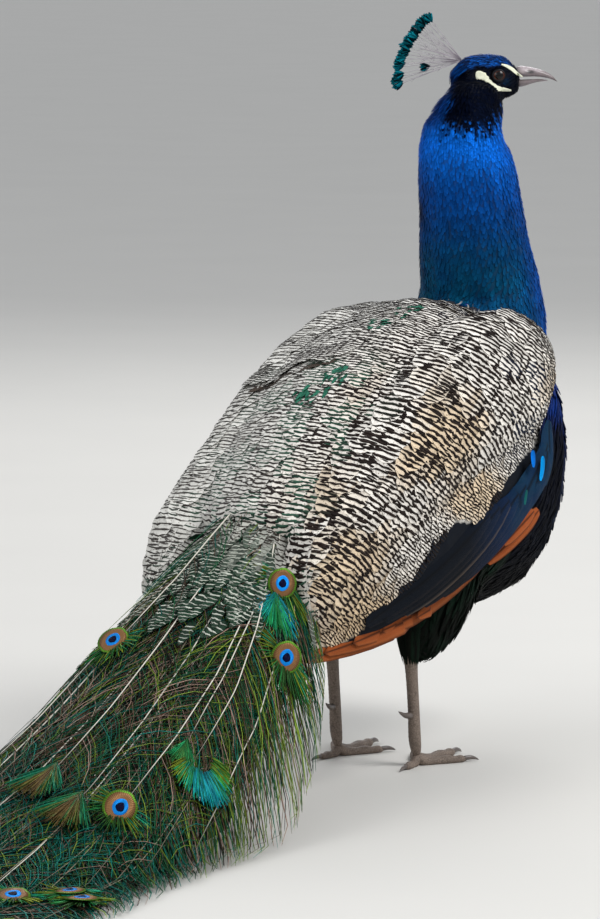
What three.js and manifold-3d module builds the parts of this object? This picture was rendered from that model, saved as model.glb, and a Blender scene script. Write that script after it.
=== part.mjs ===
// A standing Indian peacock, life size, as a still model in separate solid pieces.
// Millimetres. +Z is up, the bird's breast faces -Y and its left side is +X.
// The bird is built around the floor point between its feet; the last lines move the whole
// group so that the origin is at the bottom centre of its box.

import * as THREE from "three";
import { mergeVertices } from "three/addons/utils/BufferGeometryUtils.js";
import Module from "manifold-3d";

const wasm = await Module();
wasm.setup();

// ---------------------------------------------------------------- driving dimensions
const GAP = 0.4; // clearance that neighbouring pieces keep
const BACK_HEIGHT = 488; // top of the back above the floor
const BODY_DEPTH = 326; // back to belly at the deepest place
const BODY_WIDTH = 250; // across the trunk, without the wings
const BREAST_REACH = 306; // from the feet forward to the breast
const RUMP_REACH = 270; // from the feet back to the end of the rump
const HEAD_HEIGHT = 730; // middle of the head above the floor
const HEAD_FORWARD = 214; // middle of the head in front of the feet
const HEAD_OFFSET = -15; // the turned head leans to the bird's right
const HEAD_TURN = -57; // degrees the head is turned, towards the bird's right
const HEAD_NOD = 0; // degrees the bill points below level
const WING_REACH = 262; // from the feet back to the wing tip
const WING_MIDDLE = 79; // middle of a folded wing from the midline
const LEG_SPACING = 100; // between the two feet
const HOCK_HEIGHT = 138;
const LEG_FORWARD = 10; // the feet are set this far towards the breast
const HOCK_BACK = 15; // how far the hock is behind the ankle
const TRAIN_START = 196; // behind the feet, where the train leaves the back
const TRAIN_REACH = 1350; // from the feet back to the longest plume tip
const TRAIN_HALF_WIDTH = 236; // of the spread part that lies on the floor
const CREST_PLUMES = 9;

const COLOURS = {
  blue: [0x0b2fae, 0.45, 0.2],
  breast: [0x07224a, 0.5, 0.2],
  belly: [0x17191c, 0.8, 0],
  barred: [0xb8ab93, 0.75, 0],
  secondary: [0x14263d, 0.55, 0.1],
  rufous: [0xb5633a, 0.7, 0],
  train: [0x2c6a47, 0.6, 0.2],
  tail: [0x5b4a3c, 0.8, 0],
  thigh: [0x1c1a1a, 0.85, 0],
  horn: [0x9d9390, 0.45, 0],
  leg: [0x7d6c5e, 0.65, 0],
  eye: [0x2a130c, 0.1, 0],
  crest: [0x0f7f86, 0.5, 0.1],
};

// ---------------------------------------------------------------- helpers
const v3 = (x, y, z) => new THREE.Vector3(x, y, z);
const radians = THREE.MathUtils.degToRad;
const X_AXIS = v3(1, 0, 0);

function material(key) {
  const [color, roughness, metalness] = COLOURS[key];
  return new THREE.MeshStandardMaterial({ color, roughness, metalness });
}

// Moves every vertex of a stock geometry to place(x, y, z), which keeps it closed.
function warp(geometry, place) {
  const position = geometry.getAttribute("position");
  for (let i = 0; i < position.count; i++) {
    const p = place(position.getX(i), position.getY(i), position.getZ(i));
    position.setXYZ(i, p.x, p.y, p.z);
  }
  return geometry;
}

// A closed geometry as a manifold-3d solid, faces out.
function solid(geometry) {
  const bare = geometry.clone();
  bare.deleteAttribute("normal");
  bare.deleteAttribute("uv");
  const merged = mergeVertices(bare, 1e-3);
  const triVerts = new Uint32Array(merged.index.array);
  const build = () =>
    new wasm.Manifold(
      new wasm.Mesh({
        numProp: 3,
        vertProperties: merged.attributes.position.array,
        triVerts,
      }),
    );
  const made = build();
  if (made.volume() > 0) return made;
  for (let i = 0; i < triVerts.length; i += 3)
    [triVerts[i + 1], triVerts[i + 2]] = [triVerts[i + 2], triVerts[i + 1]];
  return build();
}

// The largest body of a solid: a cut can leave slivers beside it.
function mainBody(made) {
  return made
    .decompose()
    .reduce((best, body) => (body.volume() > best.volume() ? body : best));
}

function piece(name, made, colour) {
  const { numProp, numVert, vertProperties, triVerts } = mainBody(made).getMesh();
  const position = new Float32Array(numVert * 3);
  for (let i = 0; i < numVert; i++)
    position.set(vertProperties.subarray(i * numProp, i * numProp + 3), i * 3);
  const geometry = new THREE.BufferGeometry()
    .setAttribute("position", new THREE.BufferAttribute(position, 3))
    .setIndex(new THREE.BufferAttribute(triVerts, 1));
  geometry.computeVertexNormals();
  const mesh = new THREE.Mesh(geometry, material(colour));
  mesh.name = name;
  return mesh;
}

const cut = (made, ...others) => others.reduce((left, other) => left.subtract(other), made);
const moved = (made, matrix) => made.transform(matrix.elements);

// A limb, trunk or quill: an oval section swept along a smooth spine. Each station is
// [x, y, z, half width, half height]. The half width lies along `side`, or as near to it
// as the spine lets it. `grow` swells the form, to cut room for it in a neighbour.
function loft(stations, { around = 20, along = 14, grow = 0, side = X_AXIS, floor = null } = {}) {
  const spine = new THREE.CatmullRomCurve3(stations.map(([x, y, z]) => v3(x, y, z)));
  const sizes = new THREE.CatmullRomCurve3(stations.map(([, , , w, h]) => v3(w, h, 0)));
  const geometry = new THREE.SphereGeometry(1, around, along);
  warp(geometry, (x, y, z) => {
    const t = Math.acos(THREE.MathUtils.clamp(y, -1, 1)) / Math.PI;
    const angle = Math.atan2(z, x);
    const pole = Math.hypot(x, z) < 1e-6;
    const tangent = spine.getTangent(t);
    const across = side.clone().addScaledVector(tangent, -side.dot(tangent)).normalize();
    const up = tangent.clone().cross(across);
    const size = sizes.getPoint(t);
    const place = spine.getPoint(t);
    if (pole) place.addScaledVector(tangent, t < 0.5 ? -grow : grow);
    else {
      place.addScaledVector(across, Math.cos(angle) * (size.x + grow));
      place.addScaledVector(up, Math.sin(angle) * (size.y + grow));
    }
    if (floor !== null) place.z = Math.max(place.z, floor);
    return place;
  });
  return solid(geometry);
}

// The loft as [exact solid, solid with clearance round it].
const fitted = (stations, options = {}) => [
  loft(stations, options),
  loft(stations, { ...options, grow: GAP }),
];

// A smooth value through a few [place, value] pairs.
function profile(pairs) {
  const curve = new THREE.CatmullRomCurve3(pairs.map(([a, b]) => v3(a, b, 0)), false, "centripetal");
  const points = curve.getPoints(240);
  return (at) => {
    if (at <= points[0].x) return points[0].y;
    const next = points.findIndex((p) => p.x >= at);
    if (next < 0) return points[points.length - 1].y;
    const [a, b] = [points[next - 1], points[next]];
    return THREE.MathUtils.mapLinear(at, a.x, b.x, a.y, b.y);
  };
}

const mirrored = (stations, side) => stations.map(([x, ...rest]) => [side * x, ...rest]);

// ---------------------------------------------------------------- trunk and neck
const middle = BACK_HEIGHT - BODY_DEPTH / 2;
const half = BODY_WIDTH / 2;
const TRUNK = [
  [0, -BREAST_REACH, middle - 4, 30, 46],
  [0, -BREAST_REACH + 22, middle - 8, 0.64 * half, 0.78 * (BODY_DEPTH / 2)],
  [0, -BREAST_REACH + 70, middle - 9, 0.84 * half, 1.02 * (BODY_DEPTH / 2)],
  [0, -150, middle - 8, 0.96 * half, 1.05 * (BODY_DEPTH / 2)],
  [0, -50, middle - 6, half, 1.02 * (BODY_DEPTH / 2)],
  [0, 50, middle - 8, 0.92 * half, 0.78 * (BODY_DEPTH / 2)],
  [0, 140, middle - 24, 0.72 * half, 0.5 * (BODY_DEPTH / 2)],
  [0, 210, middle - 44, 0.5 * half, 0.28 * (BODY_DEPTH / 2)],
  [0, RUMP_REACH, middle - 60, 0.22 * half, 0.1 * (BODY_DEPTH / 2)],
];
const NECK = [
  [0, -196, 372, 88, 84],
  [0, -224, 440, 80, 82],
  [0, -228, 490, 69, 70],
  [0, -216, 533, 63, 65],
  [-2, -202, 590, 57.5, 59.5],
  [-5, -190, 622, 55.5, 57.5],
  [-8, -175, 650, 49.5, 52.5],
  [-11, -174, 672, 45.5, 48.5],
  [-14, -187, 692, 34, 38],
  [-12, -198, 712, 28.5, 33.5],
  [-12, -203, 729, 20, 24],
];
const BREAST_JOINT = -150; // place along the body where the breast meets the belly
const NECK_JOINT = 585; // height where the upper neck meets the lower neck

const [trunk, trunkRoom] = fitted(TRUNK, { around: 18, along: 12 });
const [neckWhole, neckRoom] = fitted(NECK, { around: 14, along: 13 });

const headPlace = new THREE.Group();
headPlace.position.set(HEAD_OFFSET, -HEAD_FORWARD, HEAD_HEIGHT);
headPlace.rotation.set(radians(HEAD_NOD), 0, radians(HEAD_TURN), "ZYX");
headPlace.updateMatrix();

// ---------------------------------------------------------------- head
// Lofts in the head's own frame: origin in the middle of the head, bill towards -Y.
const HEAD = [
  [0, 40, 4, 7, 8],
  [0, 30, 1, 15.5, 18],
  [0, 12, 0, 20.5, 24],
  [0, -8, -0.5, 20.5, 24.5],
  [0, -22, -4, 16.5, 21.5],
  [0, -32, -3.5, 11.5, 14.5],
  [0, -38, -3, 7, 9],
];
const BILL_TIP = 75;
const UPPER_BILL = [
  [0, -31, 3.6, 7.8, 6],
  [0, -40, 3.4, 7, 6.2],
  [0, -51, 2.7, 5.4, 5],
  [0, -62, 0.4, 3.8, 3.8],
  [0, -70, -3, 2, 2.2],
  [0, -BILL_TIP, -6.6, 0.7, 0.8],
];
const LOWER_BILL = [
  [0, -29, -8.6, 6.4, 4.6],
  [0, -38, -8, 6, 4.4],
  [0, -46, -6.2, 4.6, 3],
  [0, -58, -4.8, 2.6, 1.7],
  [0, -65, -5, 1, 0.8],
];
const EYE_RADIUS = 8.5;
const EYE_PLACE = [13.6, -10, 0.8];
const CREST_ROOT = v3(0, 30, 18);
const CREST_TOP = 48; // degrees above straight back, of the foremost plume
const CREST_LOW = -22; // of the rearmost plume
const CREST_SHORT = 60; // length of the foremost plume
const CREST_LONG = 78; // length of the rearmost plume
const CREST_SPLAY = 4; // degrees that plumes stand off the midline, to each side in turn
const SHAFT = 0.6; // half thickness of a plume's bare shaft
const FAN_LENGTH = 14; // of the small vane at a plume's tip

function crest() {
  const plumes = [];
  for (let i = 0; i < CREST_PLUMES; i++) {
    const share = i / (CREST_PLUMES - 1);
    const rise = radians(THREE.MathUtils.lerp(CREST_TOP, CREST_LOW, share));
    const splay = radians(CREST_SPLAY * ((i % 3) - 1));
    const length = THREE.MathUtils.lerp(CREST_SHORT, CREST_LONG, share);
    const way = v3(Math.sin(splay), Math.cos(splay) * Math.cos(rise), Math.sin(rise)).normalize();
    const at = (distance) => CREST_ROOT.clone().addScaledVector(way, distance).toArray();
    const fan = length - FAN_LENGTH;
    const shaft = [-6, fan / 2, fan + 3].map((distance) => [...at(distance), SHAFT, SHAFT]);
    const vane = [
      [...at(fan), 0.8, 0.8],
      [...at(fan + 0.7 * FAN_LENGTH), 2.6, 4.2],
      [...at(length), 1, 1.4],
    ];
    plumes.push(loft(shaft, { around: 4, along: 3 }), loft(vane, { around: 6, along: 4 }));
  }
  const root = solid(new THREE.SphereGeometry(1, 8, 6)).scale([4.5, 7, 7]).translate([0, 31, 17]);
  return wasm.Manifold.union([root, ...plumes]);
}

const eyeball = (side, radius) =>
  solid(new THREE.SphereGeometry(radius, 10, 7)).translate([side * EYE_PLACE[0], ...EYE_PLACE.slice(1)]);

const [headWhole, headRoom] = fitted(HEAD, { around: 14, along: 9 });
const [upperBill, upperBillRoom] = fitted(UPPER_BILL, { around: 8, along: 8 });
const [lowerBill, lowerBillRoom] = fitted(LOWER_BILL, { around: 8, along: 6 });
const eyeRooms = [1, -1].map((side) => eyeball(side, EYE_RADIUS + GAP));
const head = cut(headWhole, upperBillRoom, lowerBillRoom, ...eyeRooms);
headPlace.add(
  piece("head", head, "blue"),
  piece("bill_upper", upperBill, "horn"),
  piece("bill_lower", cut(lowerBill, upperBillRoom), "horn"),
  piece("eye_left", eyeball(1, EYE_RADIUS), "eye"),
  piece("eye_right", eyeball(-1, EYE_RADIUS), "eye"),
  piece("crest", cut(crest(), headRoom), "crest"),
);

// ---------------------------------------------------------------- trunk and neck, parted
const BIG = 2000; // a half space for parting, as a large box
const slabAbove = (z) => solid(new THREE.BoxGeometry(BIG, BIG, BIG)).translate([0, 0, z + BIG / 2]);
const slabBelow = (z) => slabAbove(z - BIG);
const slabBehind = (y) => solid(new THREE.BoxGeometry(BIG, BIG, BIG)).translate([0, y + BIG / 2, 0]);
const slabBefore = (y) => slabBehind(y - BIG);
const breast = cut(trunk, slabBehind(BREAST_JOINT - GAP / 2));
const belly = cut(trunk, slabBefore(BREAST_JOINT + GAP / 2));

const headRoomInBody = moved(headRoom, headPlace.matrix);
const neckUpper = cut(neckWhole, slabBelow(NECK_JOINT + GAP / 2), headRoomInBody);
const neckLower = cut(neckWhole, slabAbove(NECK_JOINT - GAP / 2), trunkRoom);

// ---------------------------------------------------------------- folded wings
// Each wing is three overlapping layers: barred coverts, dark secondaries, rufous primaries.
const COVERTS = [
  [WING_MIDDLE - 12, -226, 402, 16, 30],
  [WING_MIDDLE, -178, 409, 46, 72],
  [WING_MIDDLE + 4, -70, 395, 56, 88],
  [WING_MIDDLE + 4, 40, 354, 54, 79],
  [WING_MIDDLE, 130, 297, 47, 79],
  [WING_MIDDLE - 3, 200, 242, 38, 68],
  [WING_MIDDLE - 4, 240, 204, 22, 42],
  [WING_MIDDLE - 4, WING_REACH - 4, 184, 6, 12],
];
const SECONDARIES = [
  [WING_MIDDLE + 2, -205, 350, 18, 34],
  [WING_MIDDLE + 6, -150, 326, 44, 56],
  [WING_MIDDLE + 10, -50, 292, 46, 60],
  [WING_MIDDLE + 10, 50, 256, 44, 58],
  [WING_MIDDLE + 6, 130, 226, 36, 48],
  [WING_MIDDLE, 200, 196, 24, 32],
  [WING_MIDDLE - 4, 240, 178, 8, 12],
];
const PRIMARIES = [
  [WING_MIDDLE + 16, -150, 272, 12, 14],
  [WING_MIDDLE + 22, -90, 262, 17, 28],
  [WING_MIDDLE + 24, -10, 234, 16, 28],
  [WING_MIDDLE + 22, 80, 203, 14, 25],
  [WING_MIDDLE + 16, 170, 180, 11, 18],
  [WING_MIDDLE + 6, 235, 164, 7, 11],
  [WING_MIDDLE, WING_REACH, 158, 2, 4],
];

const WING_LAYERS = [
  ["coverts", COVERTS, "barred", { around: 14, along: 11 }],
  ["secondaries", SECONDARIES, "secondary", { around: 12, along: 10 }],
  ["primaries", PRIMARIES, "rufous", { around: 10, along: 10 }],
];

// The left wing is held a little looser than the right: its rear end stands out and back.
const LOOSE_OUT = 13;
const LOOSE_BACK = 14;
function slackened(stations) {
  return stations.map(([x, y, z, w, h]) => {
    const share = THREE.MathUtils.smoothstep(y, 105, 235);
    return [x + LOOSE_OUT * share, y + LOOSE_BACK * share, z, w + 3 * share, h + 3 * share];
  });
}

function wing(side) {
  const name = side > 0 ? "left" : "right";
  const rooms = [trunkRoom, neckRoom];
  return WING_LAYERS.map(([part, stations, colour, options]) => {
    const loose = side > 0 && part === "coverts" ? slackened(stations) : stations;
    const [form, room] = fitted(mirrored(loose, side), options);
    const made = cut(form, ...rooms);
    rooms.push(room);
    return { mesh: piece(`wing_${name}_${part}`, made, colour), room };
  });
}
const wings = [...wing(1), ...wing(-1)];
const wingRooms = wings.map(({ room }) => room);

// The mantle: the barred shoulder feathers that bridge the back between the wings.
const MANTLE = [
  [0, -222, 430, 34, 26],
  [0, -160, 446, 64, 44],
  [0, -60, 446, 84, 48],
  [0, 40, 414, 86, 48],
  [0, 120, 366, 84, 46],
  [0, 180, 320, 82, 42],
  [0, 226, 281, 74, 34],
  [0, 252, 262, 40, 14],
];
const [mantleWhole, mantleRoom] = fitted(MANTLE, { around: 12, along: 8 });
const mantle = cut(mantleWhole, trunkRoom, neckRoom, ...wingRooms);

// ---------------------------------------------------------------- train and tail
// The train is a cloak of overlapping layers over one draped surface. `underside` is its
// height along the midline, and the edges sag from there to the floor.
const underside = profile([
  [TRAIN_START, 300], [250, 268], [330, 212], [410, 164],
  [500, 114], [600, 66], [700, 30], [790, 8], [860, 0], [TRAIN_REACH, 0],
]);
const edgeSag = profile([
  [TRAIN_START, 60], [250, 90], [330, 118], [410, 128], [500, 118], [700, 70], [900, 40],
]);
const trainHalfWidth = profile([
  [TRAIN_START, 62], [236, 78], [280, 112], [340, 142], [410, 160],
  [550, 168], [700, 182], [900, 0.93 * TRAIN_HALF_WIDTH], [1050, TRAIN_HALF_WIDTH],
  [TRAIN_REACH, TRAIN_HALF_WIDTH],
]);
const SAG_POWER = 2.4;

// Layers from the floor up, each roofing the start of the one below: where each starts, where
// it ends on the midline and at the edge, its thickness in the middle, its plume tips across,
// and its grid.
const LAYERS = [
  { name: "train_long", start: 540, end: TRAIN_REACH, edgeEnd: 930, thick: 20, tips: 4, grid: [16, 6] },
  { name: "train_middle", start: 320, end: 850, edgeEnd: 620, thick: 29, tips: 3.5, grid: [14, 5] },
  { name: "train_short", start: TRAIN_START, end: 480, edgeEnd: 400, thick: 36, tips: 2.5, grid: [10, 4] },
];
const TIP_REACH = 26; // how far the plume tips stand out past the notches between them
const EDGE_THIN = 0.35; // thickness at the edge as a share of that in the middle

function drape(u, y, lift) {
  const droop = edgeSag(y) * Math.abs(u) ** SAG_POWER;
  const z = Math.max(underside(y) - droop, 0) + lift;
  return v3(u * trainHalfWidth(y), y, z);
}

// One layer. `clear` swells it on every side, to cut room for it in the layer above.
function trainLayer({ start, end, edgeEnd, thick, tips, grid }, clear = 0) {
  const box = new THREE.BoxGeometry(2, 1, 1, grid[0], grid[1], 1);
  return solid(
    warp(box, (u, t, side) => {
      const share = t + 0.5;
      const tip = TIP_REACH * Math.abs(Math.sin((Math.PI * tips * (u + 1)) / 2)) * share ** 3;
      const last = edgeEnd + (end - edgeEnd) * (1 - Math.abs(u) ** 2.2) - TIP_REACH + tip;
      const beyond = share === 0 ? -clear : share === 1 ? clear : 0;
      const y = start + (last - start) * share + beyond;
      const thin = (1 - (1 - EDGE_THIN) * u * u) * (1 - 0.3 * share ** 4);
      return drape(u * (1 + clear / 100), y, side > 0 ? thick * thin + 2 * clear : -8 * clear);
    }),
  );
}

function train() {
  const blocked = [trunkRoom, mantleRoom, ...wingRooms];
  return LAYERS.map((layer) => {
    const made = cut(trainLayer(layer), ...blocked);
    blocked.push(trainLayer(layer, 2 * GAP));
    return piece(layer.name, made, "train");
  });
}

// The stiff tail feathers lie flat under the train's root.
const TAIL_START = 236;
const TAIL_END = 560;
const TAIL_THICK = 9;
function tail() {
  const box = new THREE.BoxGeometry(2, 1, 1, 6, 4, 1);
  const form = solid(
    warp(box, (u, t, side) => {
      const share = t + 0.5;
      const y = THREE.MathUtils.lerp(TAIL_START, TAIL_END - 60 * u * u, share);
      const spread = THREE.MathUtils.lerp(26, 92, share);
      const place = drape(u * (spread / trainHalfWidth(y)), y, -8 * GAP);
      place.z -= side > 0 ? 0 : TAIL_THICK * (1 - 0.4 * u * u);
      return place;
    }),
  );
  return cut(form, trunkRoom, mantleRoom, ...wingRooms);
}

// ---------------------------------------------------------------- legs
// In the leg's own frame: the origin is on the floor under the ankle, toes towards -Y.
const ANKLE_HEIGHT = 15;
const SHANK = [
  [0, HOCK_BACK + 2, HOCK_HEIGHT + 12, 7, 8],
  [0, HOCK_BACK, HOCK_HEIGHT, 9, 10],
  [0, 0.72 * HOCK_BACK, 0.76 * HOCK_HEIGHT, 6.8, 8],
  [0, 0.4 * HOCK_BACK, 0.44 * HOCK_HEIGHT, 6.4, 7.6],
  [0, 3, 26, 7, 8],
  [0, 0, ANKLE_HEIGHT, 7.4, 7.6],
];
const THIGH = [
  [4, -58, 262, 30, 56],
  [4, -48, 214, 38, 65],
  [3, -34, 174, 32, 55],
  [1, -8, 142, 21, 38],
  [0, 12, 124, 15, 20],
];
const TOES = [
  // name, degrees from straight ahead (outwards positive), length, thickness
  ["middle", 2, 74, 6.2],
  ["inner", -34, 54, 5.6],
  ["outer", 36, 58, 5.6],
  ["hind", 172, 30, 4.8],
];
const CLAW_LENGTH = 15;
const SPUR = [
  [0, 9, 56, 4.2, 4.2],
  [-2, 19, 57, 3, 3],
  [-4, 31, 63, 0.9, 0.9],
];

// A toe runs level on the floor, swells at each joint pad and is flat underneath.
const PAD_SINK = 0.62; // height of a toe's middle as a share of its half thickness
function toe(angle, length, thick, grow = 0) {
  const turn = radians(angle);
  const point = (share, size, height = PAD_SINK * size * thick) => [
    share * length * Math.sin(turn), -share * length * Math.cos(turn), height,
    size * thick, 0.92 * size * thick];
  const side = v3(Math.cos(turn), Math.sin(turn), 0);
  const stations = [
    point(-8 / length, 0.9, ANKLE_HEIGHT - 6),
    point(0.02, 1.2, ANKLE_HEIGHT - 7),
    point(0.22, 1.1),
    point(0.4, 0.9),
    point(0.6, 1.04),
    point(0.78, 0.84),
    point(0.92, 0.92),
    point(1, 0.5),
  ];
  return loft(stations, { around: 8, along: 7, grow, side, floor: 0 });
}

function claw(angle, length, thick) {
  const turn = radians(angle);
  const point = (distance, height, size) => [
    distance * Math.sin(turn), -distance * Math.cos(turn), height, size * 0.8, size];
  const side = v3(Math.cos(turn), Math.sin(turn), 0);
  const stations = [
    point(length - 5, thick * 0.66, thick * 0.56),
    point(length + 0.4 * CLAW_LENGTH, thick * 0.74, thick * 0.44),
    point(length + 0.8 * CLAW_LENGTH, thick * 0.46, thick * 0.24),
    point(length + CLAW_LENGTH, 1, 0.5),
  ];
  return loft(stations, { around: 6, along: 4, side, floor: 0 });
}

function leg(side) {
  const name = side > 0 ? "left" : "right";
  const place = new THREE.Group();
  place.position.set((side * LEG_SPACING) / 2, -LEG_FORWARD, 0);
  place.updateMatrix();
  const bodyToLeg = place.matrix.clone().invert();
  const toLegFrame = (made) => moved(made, bodyToLeg);
  const [thigh, thighRoom] = fitted(mirrored(THIGH, side), { around: 12, along: 7 });
  const [shank, shankRoom] = fitted(SHANK, { around: 8, along: 7 });
  const toes = TOES.map(([, angle, ...size]) => toe(side * angle, ...size));
  const toeRooms = TOES.map(([, angle, ...size]) => toe(side * angle, ...size, GAP));
  place.add(
    piece(`thigh_${name}`, cut(thigh, ...[trunkRoom, ...wingRooms].map(toLegFrame)), "thigh"),
    piece(`shank_${name}`, cut(shank, thighRoom, ...toeRooms), "leg"),
    piece(`foot_${name}`, wasm.Manifold.union(toes), "leg"),
    piece(`spur_${name}`, cut(loft(mirrored(SPUR, side), { around: 6, along: 4 }), shankRoom), "horn"),
    ...TOES.map(([which, angle, length, thick], i) =>
      piece(`claw_${name}_${which}`, cut(claw(side * angle, length, thick), toeRooms[i]), "horn"),
    ),
  );
  return place;
}

// ---------------------------------------------------------------- the bird
const bird = new THREE.Group();
bird.add(
  piece("breast", breast, "breast"),
  piece("belly", belly, "belly"),
  piece("neck_lower", neckLower, "blue"),
  piece("neck_upper", neckUpper, "blue"),
  headPlace,
  ...wings.map(({ mesh }) => mesh),
  piece("mantle", mantle, "barred"),
  ...train(),
  piece("tail", tail(), "tail"),
  leg(1),
  leg(-1),
);

bird.updateMatrixWorld(true);
const box = new THREE.Box3().setFromObject(bird, true);
const centre = box.getCenter(v3(0, 0, 0));
bird.position.set(-centre.x, -centre.y, -box.min.z);

const peacock = new THREE.Group();
peacock.add(bird);
export default peacock;
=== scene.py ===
"""A standing Indian peacock as a still model, dressed in solid feathers over one skin.

Run as a script, it loads the solid frame, builds every piece by its operator and sets the stage.
Lengths are metres. The bird's breast faces -Y and its left side is +X. Places are written from
the floor point between the feet, and `settle` moves them to the frame's own origin.
"""

import itertools
import math

import bmesh
import bpy
import numpy as np
from bpy.props import FloatProperty, FloatVectorProperty, PointerProperty
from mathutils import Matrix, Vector
from mathutils.bvhtree import BVHTree


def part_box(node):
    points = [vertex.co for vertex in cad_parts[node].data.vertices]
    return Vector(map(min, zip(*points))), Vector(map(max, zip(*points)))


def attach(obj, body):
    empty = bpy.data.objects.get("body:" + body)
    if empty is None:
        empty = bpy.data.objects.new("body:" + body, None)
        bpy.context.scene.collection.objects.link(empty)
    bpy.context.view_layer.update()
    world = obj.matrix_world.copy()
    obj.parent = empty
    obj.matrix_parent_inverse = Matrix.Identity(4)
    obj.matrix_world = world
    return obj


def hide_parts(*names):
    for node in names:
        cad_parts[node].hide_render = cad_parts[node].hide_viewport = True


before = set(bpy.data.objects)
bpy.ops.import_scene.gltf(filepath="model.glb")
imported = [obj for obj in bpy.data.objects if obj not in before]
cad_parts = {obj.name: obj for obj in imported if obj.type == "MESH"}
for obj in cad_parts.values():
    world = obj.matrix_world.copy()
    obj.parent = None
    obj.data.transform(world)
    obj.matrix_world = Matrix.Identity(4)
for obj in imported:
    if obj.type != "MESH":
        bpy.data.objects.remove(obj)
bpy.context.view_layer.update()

bl_info = {
    "name": "Peacock",
    "version": (1, 0, 0),
    "blender": (4, 5, 0),
    "location": "View3D > Sidebar > Peacock",
    "description": "Dresses a peacock's solids in skin, feathers and a train of loose plumes",
    "category": "Object",
}

# The breast reaches this far in front of the floor point between the feet.
BREAST_REACH = 0.306
ORIGIN = np.array([0.0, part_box("breast")[0].y + BREAST_REACH, 0.0])
HEAD_PLACE = np.array([-0.015, -0.214, 0.730])
HEAD_TURN = math.radians(-57)
HEAD_MATRIX = np.array([[math.cos(HEAD_TURN), -math.sin(HEAD_TURN), 0],
                        [math.sin(HEAD_TURN), math.cos(HEAD_TURN), 0], [0, 0, 1]])
MM = 0.001
UPWARD = np.array([0, 0, 1.0])
SIDES = ((1, "left"), (-1, "right"))


# ------------------------------------------------------------------ numbers and shapes
def unit(a):
    return a / np.maximum(np.linalg.norm(a, axis=-1, keepdims=True), 1e-9)


def settle(points):
    """Bird places to frame places."""
    return np.asarray(points, float) + ORIGIN


def head_to_bird(points):
    """Places in the head's own frame, bill towards -Y, in millimetres, to bird places."""
    return np.asarray(points, float) * MM @ HEAD_MATRIX.T + HEAD_PLACE


def bird_to_head(points):
    return (np.asarray(points, float) - HEAD_PLACE) @ HEAD_MATRIX / MM


def square_to(way, line):
    """A way, turned as little as makes it square to a line."""
    return unit(way - line * (way * line).sum(-1, keepdims=True))


def rolled(across, up, roll):
    """Two ways square to each other, turned together by an angle."""
    return across * np.cos(roll) + up * np.sin(roll), up * np.cos(roll) - across * np.sin(roll)


def smoothstep(low, high, value):
    t = np.clip((np.asarray(value, float) - low) / (high - low), 0, 1)
    return t * t * (3 - 2 * t)


def linear(colour):
    """An sRGB hex value, such as 0x1A4FC0, as linear RGB."""
    channels = np.array([(colour >> shift & 255) / 255 for shift in (16, 8, 0)])
    return np.where(channels <= 0.04045, channels / 12.92, ((channels + 0.055) / 1.055) ** 2.4)


def rgba(colour):
    return (*linear(colour), 1.0)


def even_tone(count, colour):
    """One colour for each of count points."""
    return np.tile(linear(colour), (count, 1))


def inset(uv):
    """Bake places kept a little inside the map's border."""
    return 0.02 + 0.96 * uv


def poled(place):
    """A sweep's places with those of its two end points."""
    return np.concatenate([place.reshape(-1, 2), [[0.5, 0], [0.5, 1]]])


def keep_above(points, height):
    """Lifts what would lie lower than a height over the floor."""
    points[:, 2] = np.maximum(points[:, 2], height)


def curve(stations, shares):
    """A smooth curve through stations (n, k), sampled at shares 0..1 of its length."""
    stations = np.asarray(stations, float)
    steps = np.linalg.norm(np.diff(stations[:, :3], axis=0), axis=1)
    knots = np.concatenate([[0], np.cumsum(steps)]) / steps.sum()
    slopes = np.gradient(stations, knots, axis=0)
    shares = np.clip(np.asarray(shares, float), 0, 1)
    i = np.clip(np.searchsorted(knots, shares, side="right") - 1, 0, len(knots) - 2)
    width = (knots[i + 1] - knots[i])[:, None]
    t = (shares - knots[i])[:, None] / width
    a, b = stations[i], stations[i + 1]
    return ((2 * t**3 - 3 * t**2 + 1) * a + (t**3 - 2 * t**2 + t) * width * slopes[i]
            + (-2 * t**3 + 3 * t**2) * b + (t**3 - t**2) * width * slopes[i + 1])


# ------------------------------------------------------------------ meshes from arrays
def store_tone(mesh, tone):
    """Keeps the colour of each point on its mesh."""
    full = np.ones((len(mesh.vertices), 4), np.float32)
    full[:, :3] = tone
    mesh.attributes.new("tone", "FLOAT_COLOR", "POINT").data.foreach_set("color", full.ravel())


def mesh_object(name, points, faces, material, uvs=None, tone=None, values=None, smooth=True, sharp=None):
    """One object from arrays. `faces` is a list of (m, sides) index arrays."""
    mesh = bpy.data.meshes.new(name)
    mesh.vertices.add(len(points))
    mesh.vertices.foreach_set("co", settle(points).astype(np.float32).ravel())
    corners = np.concatenate([f.ravel() for f in faces]).astype(np.int32)
    sides = np.concatenate([np.full(len(f), f.shape[1]) for f in faces]).astype(np.int32)
    mesh.loops.add(len(corners))
    mesh.loops.foreach_set("vertex_index", corners)
    mesh.polygons.add(len(sides))
    mesh.polygons.foreach_set("loop_start", np.concatenate([[0], np.cumsum(sides)[:-1]]).astype(np.int32))
    mesh.polygons.foreach_set("use_smooth", np.full(len(sides), smooth))
    for label, uv in (uvs or {}).items():
        layer = mesh.uv_layers.new(name=label)
        layer.data.foreach_set("uv", np.asarray(uv, np.float32)[corners].ravel())
    if tone is not None:
        store_tone(mesh, tone)
    for label, value in (values or {}).items():
        layer = mesh.attributes.new(label, "FLOAT", "POINT")
        layer.data.foreach_set("value", np.asarray(value, np.float32))
    mesh.update(calc_edges=True)
    mesh.validate()
    if sharp is not None:
        mesh.set_sharp_from_angle(angle=math.radians(sharp))
    made = bpy.data.objects.new(name, mesh)
    bpy.context.scene.collection.objects.link(made)
    made.data.materials.append(material)
    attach(made, "root")
    return made


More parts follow.
